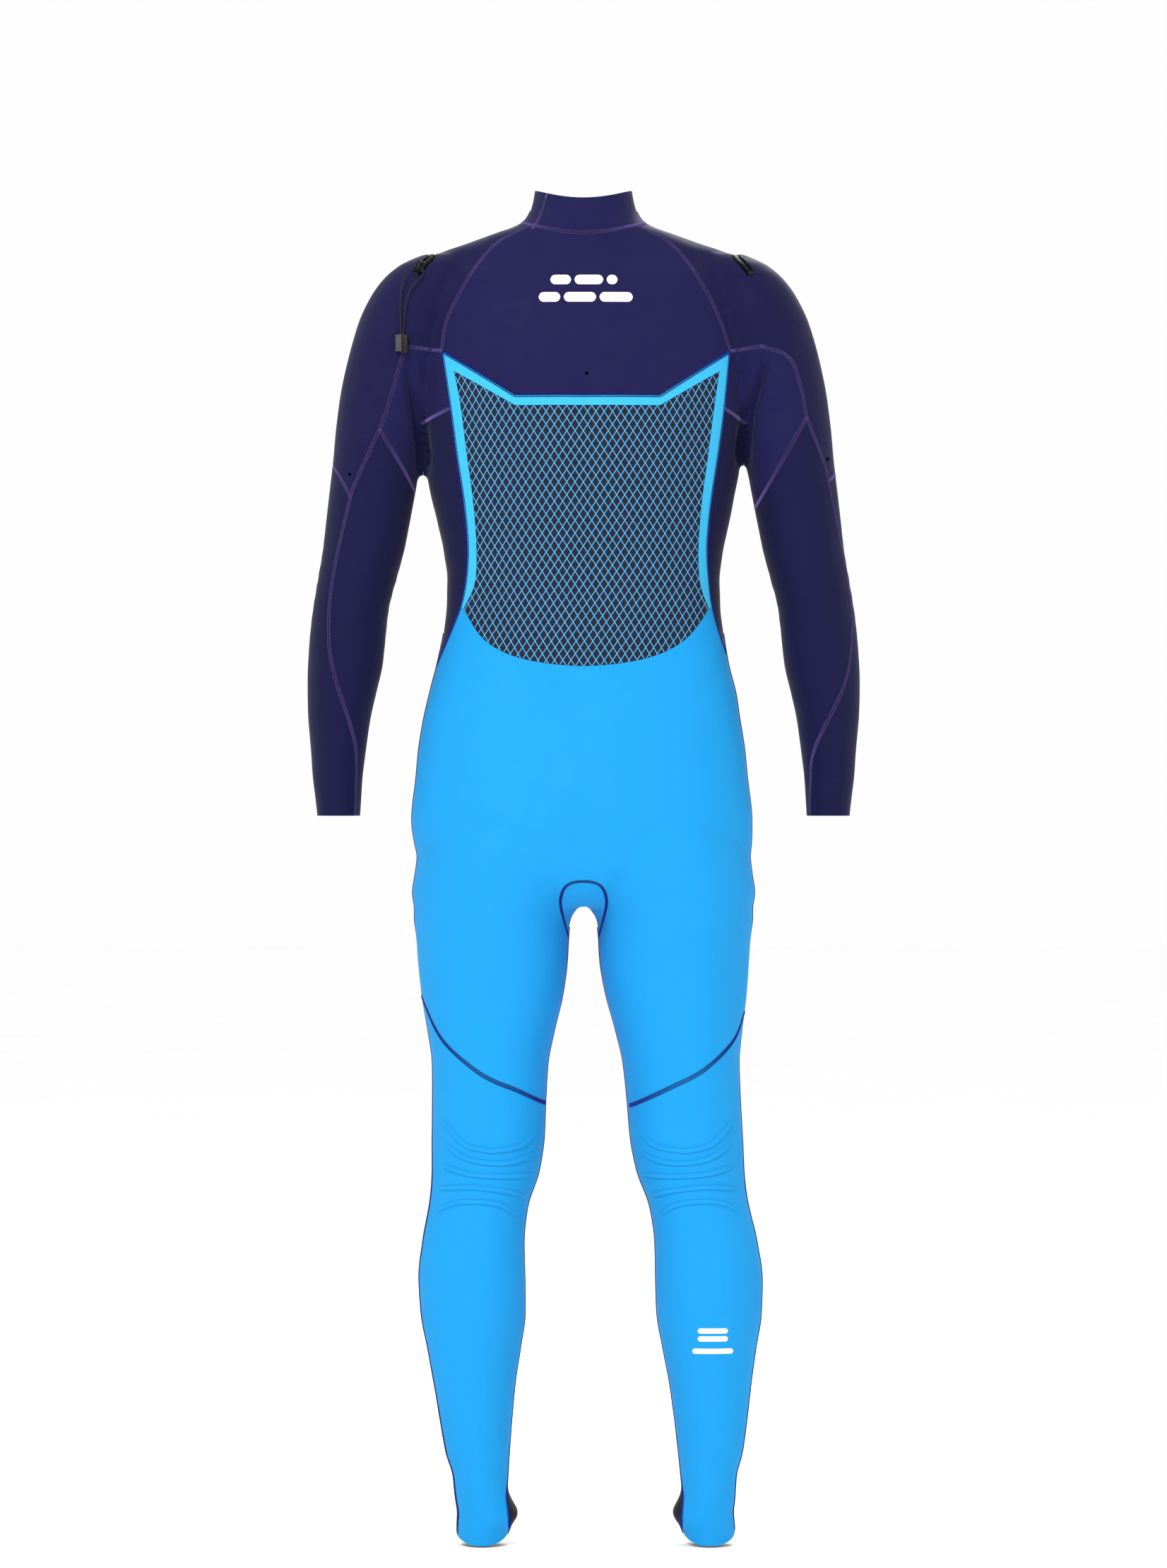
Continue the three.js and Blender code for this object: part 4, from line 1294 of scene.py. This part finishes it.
RIB_WIDE, RIB_HIGH, RIB_SUNK = 6.4e-3, 2.0e-3, 0.6e-3  # the last is the depth of its foot; in metres
RIB_EDGE = 0.35  # the share of half its width over which it rises
RIB_TIP, RIB_TAPER = 0.35, 2.2  # its tips' share of its width, and how soon it reaches full size
RIB_ACROSS, RIB_STEP = 13, 1.5e-3  # points across it, and the distance between its sections
RIB_PATH_STEP = 2  # between the points at which its line is laid on the surface, in millimetres


def ridge(name, spots, normals, material):
    """A low band with steep edges along a line on the surface, fading out at both ends."""
    side = np.cross(directions(spots), normals)
    t = np.linspace(0, 1, len(spots))
    fade = np.sqrt(np.clip(np.sin(math.pi * t) * RIB_TAPER, 0, 1))
    vertices = []
    for i in range(len(spots)):
        half_wide = RIB_WIDE / 2 * (RIB_TIP + (1 - RIB_TIP) * fade[i])
        for u in np.linspace(-1, 1, RIB_ACROSS):
            rise = min(1.0, (1 - abs(u)) / RIB_EDGE)
            lift = RIB_HIGH * fade[i] * rise**2 * (3 - 2 * rise)
            vertices.append(spots[i] + side[i] * u * half_wide + normals[i] * lift)
        vertices.append(spots[i] - normals[i] * RIB_SUNK)
    return closed_piece(name, vertices, tube_rings(len(spots), RIB_ACROSS + 1), material)


def knee_ribs(surface):
    for hand, sign in (("left", -1), ("right", 1)):
        for number, line in enumerate(KNEE_RIBS, 1):
            path = spline([(RIB_MIDDLE[hand] + sign * off, z) for off, z in line], RIB_PATH_STEP)
            run = [hit for hit in (surface.back(x, z) for x, z in path) if hit is not None]
            rib = ridge(f"knee_rib_{hand}_{number}", *resampled(run, RIB_STEP), MATERIALS["blue"])
            attach(rib, "leg")


INK_RAISED, INK_SUNK = 0.22e-3, 0.4e-3  # in metres
INK_STEP, INK_ROWS = 1.2, 5
INK_TIP = 0.02  # keeps a bar's rounded end from closing to a point


def pill(surface, x0, x1, height, tall):
    """A rounded bar of thick ink on the back of the suit, as vertices and faces."""
    columns = np.linspace(x0, x1, round((x1 - x0) / INK_STEP) + 1)
    radius = tall / 2
    vertices = []
    for x in columns:
        short = 1 - min(x - x0, x1 - x, radius) / radius
        half = radius * math.sqrt(max(INK_TIP, 1 - short**2))
        hits = [surface.back(x, height + row * half) for row in np.linspace(-1, 1, INK_ROWS)]
        vertices += [spot + normal * INK_RAISED for spot, normal in hits]
        vertices += [spot - normal * INK_SUNK for spot, normal in reversed(hits)]
    return vertices, tube_rings(len(columns), 2 * INK_ROWS)


# Plain rounded bars where the suit carries printed marks: (from x, to x, height, tall).
YOKE_PRINT = [
    (-37, -14, 1424, 11), (-10, 22, 1424, 11), (26, 38, 1424, 11),
    (-50, -26, 1404, 11), (-22, 14, 1404, 11), (18, 55, 1404, 11),
]
CALF_PRINT = [(128, 162, 247, 6), (128, 162, 238, 6), (122, 168, 224, 6)]


def prints(surface):
    """The printed bars on the yoke and on the right calf."""
    for name, bars, limb in (("yoke_print", YOKE_PRINT, None), ("calf_print", CALF_PRINT, "leg")):
        shapes = merged([pill(surface, *bar) for bar in bars])
        attach(closed_piece(name, *shapes, MATERIALS["ink"]), limb)


# ---- Zip ----
ZIP_TOP_COUNT = 10  # how many points of its middle line lie on top of each shoulder
ZIP_ROUNDS = 3  # how often the line of the teeth is evened out


def zip_path(surface):
    """The zip's middle line on the outside, from the left shoulder's back to the right one's."""
    chest_line = spline(ZIP_FRONT[:5], ZIP_STEP)  # the rest of both lines lies on top, out of view
    back_line = spline(ZIP_BACK[2:], ZIP_STEP)
    top_x = ZIP_TOP_X + ZIP_TOP_BOW * np.sin(np.linspace(0, math.pi, ZIP_TOP_COUNT))
    top_y = np.linspace(*ZIP_TOP_Y, ZIP_TOP_COUNT)

    def half(side):
        chest = [surface.front(side * x, z) for x, z in chest_line]
        top = [surface.top(side * x, y) for x, y in zip(top_x, top_y)]
        behind = [surface.back(side * x, z) for x, z in back_line]
        return [hit for hit in chest + top + behind if hit is not None]

    left, right = half(-1), half(1)
    return left[::-1] + right[1:]


def smoothed(spots, rounds):
    """The line with each inner point moved towards its neighbours' mean."""
    for _ in range(rounds):
        spots[1:-1] = (spots[:-2] + 2 * spots[1:-1] + spots[2:]) / 4
    return spots


def rounded_box(name, size, bevel, material, segments=3):
    """A box with rounded edges, centred on its origin; sizes in millimetres."""
    half = [s / 2000 for s in size]
    corners = [(x * half[0], y * half[1], z * half[2]) for z in (-1, 1) for x, y in
               ((-1, -1), (1, -1), (1, 1), (-1, 1))]
    box = new_object(name, corners, tube_rings(2, 4), material)
    edge = box.modifiers.new("bevel", "BEVEL")
    edge.width = bevel / 1000
    edge.segments = segments
    apply_modifiers(box)
    shade(box, MOULDED_ANGLE)
    return box


def joined(name, parts):
    """Several meshes as one object with the first one's material."""
    shapes = merged([(coordinates(part.data), faces_of(part)) for part in parts])
    made = new_object(name, *shapes, parts[0].data.materials[0])
    remove(*parts)
    shade(made, MOULDED_ANGLE)
    return made


TOOTH, TOOTH_BEVEL = (2.6, 1.7, 1.6), 0.35  # across, along and high
TOOTH_PITCH, TOOTH_OFF, TOOTH_SUNK = 1.35, 0.9, 0.35  # the middle one is how far it lies to one side
STOP, STOP_BEVEL, STOP_RAISED = (6.4, 4.2, 2.2), 0.6, 0.4


def zip_flap(surface):
    """The water barrier behind the zip."""
    flap = Threads()
    taped(flap, zip_path(surface), ZIP_FLAP)
    belongs(flap.build("zip_inner_flap", MATERIALS["tape"]), "black_neoprene", "root")


def zip_teeth(surface):
    """Two rows of moulded teeth that mesh down the middle, one every other place from each side."""
    hits = zip_path(surface)
    spots = smoothed(np.array([p for p, _ in hits]), ZIP_ROUNDS)
    spots, normals = resampled(list(zip(spots, [n for _, n in hits])), TOOTH_PITCH / 1000)
    way = directions(spots)
    tooth = rounded_box("tooth", TOOTH, TOOTH_BEVEL, MATERIALS["teeth"], segments=2)
    shape, quads = coordinates(tooth.data), faces_of(tooth)
    remove(tooth)
    teeth = []
    for i, (spot, normal, along) in enumerate(zip(spots, normals, way)):
        side = unit(np.cross(along, normal))
        axes = np.stack([side, along, np.cross(side, along)])
        middle = spot + (side * TOOTH_OFF * (1 if i % 2 else -1) - normal * TOOTH_SUNK) / 1000
        teeth.append((shape @ axes + middle, quads))
    chain = new_object("zip_teeth", *merged(teeth), MATERIALS["teeth"])
    shade(chain, MOULDED_ANGLE)
    belongs(chain, "zip_plastic", "root", "zip_teeth_chain")
    for hand, at in (("left", 0), ("right", -1)):
        stop = rounded_box(f"zip_stop_{hand}_block", STOP, STOP_BEVEL, MATERIALS["teeth"])
        side = np.cross(way[at], normals[at])
        turn = Matrix(np.stack([side, way[at], np.cross(side, way[at])]).T.tolist()).to_4x4()
        middle = Vector(spots[at] + normals[at] * STOP_RAISED / 1000)
        stop.matrix_world = Matrix.Translation(middle) @ turn
        belongs(stop, "zip_plastic", "root", f"zip_stop_{hand}")


def zip_tapes(shell_copy):
    """The two woven tapes: the slot's strip of the shell, sunk a little and split under the teeth."""
    co = coordinates(shell_copy.data)
    count = len(co) // 2  # the outside comes first, then the inside in the same order
    co[:count] += (co[count:] - co[:count]) * TAPE_SUNK
    move_to(shell_copy.data, co)
    strip, *rest = zip_walls(ZIP_GAP - TAPE_CLEAR, "keep_zip")
    boolean(strip, rest, "UNION")
    boolean(shell_copy, [strip], "INTERSECT")
    boolean(shell_copy, zip_walls(TEETH_GAP, "cut_teeth", past=TEETH_GAP), "DIFFERENCE")
    parts = sorted(loose_parts(shell_copy), key=lambda part: -len(part.data.vertices))
    tapes, scraps = parts[:2], parts[2:]
    tapes.sort(key=lambda part: coordinates(part.data)[:, 2].mean())
    for name, tape in zip(("lower", "upper"), tapes):
        tape.name = f"zip_tape_{name}_woven"
        paint(tape, MATERIALS["tape"])
        shade(tape)
        belongs(tape, "zip_tape", "root", f"zip_tape_{name}")
    remove(*scraps)


# The slider's rounded boxes and its cord bridge, along its own axes: across, along and out.
SLIDER = [
    ((10.6, 14.6, 2.0), 0.8, (0, 0, 6.2)),
    ((7.0, 8.4, 1.0), 0.4, (0, 1.2, 7.1)),
    ((8.4, 12.4, 1.1), 0.5, (0, 0, 2.5)),
    ((2.2, 6.0, 3.6), 0.5, (0, 3.6, 4.3)),
    ((1.4, 12.6, 3.2), 0.5, (-4.3, 0, 4.7)),
    ((1.4, 12.6, 3.2), 0.5, (4.3, 0, 4.7)),
]
BRIDGE = [(-7.0, 7.2), (-6.6, 9.8), (-4.6, 11.8), (-1.6, 12.2), (2.4, 11.6), (4.2, 9.6), (4.6, 7.2)]
BRIDGE_R, BRIDGE_STEP, BRIDGE_SIDES = 0.95, 0.7, 10


def slider_axes():
    """The slider's directions at rest: across the zip, along its travel and away from the suit."""
    axis = Vector(ARC_AXIS).normalized()
    rest, centre = place(*ARC_REST), place(*ARC_CENTRE)
    out = rest - centre
    out = (out - axis * out.dot(axis)).normalized()
    return Matrix((axis, axis.cross(out), out)).transposed().to_4x4(), rest


def zip_slider():
    """A moulded slider: a waisted upper plate, a lower plate, the post and a bridge for the cord."""
    look = MATERIALS["slider"]
    bridge = Threads()
    spots = np.array([(0, y / 1000, z / 1000) for y, z in spline(BRIDGE, BRIDGE_STEP)])
    bridge.add(spots, np.tile((1.0, 0.0, 0.0), (len(spots), 1)), BRIDGE_R / 1000, BRIDGE_SIDES)
    turn, rest = slider_axes()
    parts = [moulding("slider_plates", SLIDER, look), bridge.build("slider_bridge", look)]
    made = joined("zip_slider_moulded", parts)
    made.data.transform(Matrix.Translation(rest) @ turn)
    belongs(made, "slider_plastic", "zip_slider", "zip_slider")


def moulding(name, boxes, look):
    """One moulded piece from rounded boxes, each given as (size, bevel, place) in millimetres."""
    parts = []
    for size, bevel, at in boxes:
        part = rounded_box(f"{name}_part", size, bevel, look)
        part.data.transform(Matrix.Translation(Vector(at) / 1000))
        parts.append(part)
    return joined(name, parts)


# The toggle's rounded boxes, from its top where the cord goes in: a body with its cord guide, in black
# plastic that is painted shade for the toggle's side turned from the light, and a grey face with a
# flange and a button.
TOGGLE_BODY = [((7.4, 4.8, 20), 1.0, (3.2, 0.4, -10.8)), ((5.0, 4.0, 2.0), 0.6, (0.6, 0.4, -0.4))]
TOGGLE_FACE = [
    ((7.0, 6.0, 18.6), 0.7, (-3.4, 0, -9.7)),
    ((7.7, 6.8, 1.6), 0.5, (-3.4, 0, -18.4)),
    ((1.6, 6.5, 1.6), 0.5, (-3.4, 0, -10.6)),
]


def zip_pull():
    """The cord loop and its toggle."""
    # The body's black plastic is painted shade: it darkens the toggle's side that turns from the light.
    toggle = moulding("zip_toggle_body", TOGGLE_BODY, MATERIALS["slider"])
    toggle_face = moulding("zip_toggle_face", TOGGLE_FACE, MATERIALS["toggle"])
    where = Matrix.Translation(place(*TOGGLE_TOP)) @ Matrix.Rotation(TOGGLE_TURN, 4, "Z")
    for piece, nodes in ((toggle, ["zip_pull_toggle"]), (toggle_face, [])):
        piece.data.transform(where)
        belongs(piece, "slider_plastic", "zip_pull", *nodes)
    curve = bpy.data.curves.new("zip_cord_loop", "CURVE")
    curve.dimensions = "3D"
    curve.bevel_depth = CORD_D / 2000
    curve.bevel_resolution = 3
    curve.resolution_u = 8
    line = curve.splines.new("BEZIER")
    line.bezier_points.add(len(CORD_ROUTE) - 1)
    for point, spot in zip(line.bezier_points, CORD_ROUTE):
        point.co = place(*spot)
        point.handle_left_type = point.handle_right_type = "AUTO"
    curve.materials.append(MATERIALS["cord"])
    cord = linked("zip_cord_loop", curve)
    belongs(cord, "cord", "zip_pull", "zip_pull_cord")


# ---- Stage ----
FLOOR_DROP, FLOOR_HALF = 0.002, 30  # below the lowest hem, and half its width, in metres


def floor():
    m = Maker("pale_floor")
    speck = m.spread(m.noise(3.0, 4.0))
    m.set(Base_Color=m.mix(speck, (0.985, 0.985, 0.985), (0.995, 0.995, 0.995)), Roughness=0.9)
    m.set(Specular_IOR_Level=0.1)
    low = CAD_BOX[0][2] - FLOOR_DROP
    corners = [(x * FLOOR_HALF, y * FLOOR_HALF, low) for x, y in ((-1, -1), (1, -1), (1, 1), (-1, 1))]
    new_object("floor", corners, [(0, 1, 2, 3)], m.material)


# Round lamps: (place, what it points at, diameter in metres, watts).
MIDDLE, SHINS = (0, 0, -0.75), (0, 0, -1.15)
LAMPS = {
    "key": ((-1.4, -3.8, 2.3), MIDDLE, 1.3, 165),
    "fill": ((1.6, -4.0, -0.9), SHINS, 1.6, 26),
    "front": ((0.8, 3.9, 2.2), MIDDLE, 1.3, 165),
}
SURROUNDINGS = (0.99, 0.99, 0.99, 1)


def light(name, spot, target, size, power):
    data = bpy.data.lights.new(name, "AREA")
    data.shape = "DISK"
    data.size = size
    data.energy = power
    lamp = linked(name, data)
    lamp.location = spot
    lamp.rotation_euler = (Vector(target) - Vector(spot)).to_track_quat("-Z", "Y").to_euler()


def studio():
    scene = bpy.context.scene
    world = scene.world or bpy.data.worlds.new("studio")
    scene.world = world
    world.use_nodes = True
    background = world.node_tree.nodes["Background"]
    background.inputs["Color"].default_value = SURROUNDINGS
    for name, lamp in LAMPS.items():
        light(name, *lamp)
    scene.view_settings.view_transform = "Standard"


CAMERA_FAR, CAMERA_HEIGHT = 8.0, 860  # metres from the middle plane, millimetres above the hem
SENSOR, FRAME_TALL = 36.0, 1.775  # the picture's height in the camera, in millimetres, and in the scene
CAMERA_END = 100


def camera():
    data = bpy.data.cameras.new("camera")
    data.sensor_fit = "VERTICAL"
    data.sensor_height = SENSOR
    data.lens = SENSOR * CAMERA_FAR / FRAME_TALL
    data.clip_end = CAMERA_END
    view = linked("camera", data)
    view.location = place(0, -CAMERA_FAR * 1000, CAMERA_HEIGHT)
    view.rotation_euler = (math.pi / 2, 0, 0)
    bpy.context.scene.camera = view


# ---- Making ----
camera()
zip_pull()
body, body_edges = body_surface()
surface = Surface(body)
shell = hollow(body, body_edges)
tape_shell = linked("tape_shell", shell.data.copy())
all_seams = seams()
cutters = [seam.cutter(number) for number, seam in enumerate(all_seams)]
cutters += [knee_pad_cut("left", -1), knee_pad_cut("right", 1)]
cutters += openings() + drain_cutters() + zip_walls(ZIP_GAP)
boolean(shell, cutters, "DIFFERENCE")
dress_panels(loose_parts(shell))
zip_tapes(tape_shell)
zip_flap(surface)
zip_teeth(surface)
zip_slider()
stitch(surface, all_seams)
knee_ribs(surface)
prints(surface)
remove(body)
floor()
studio()
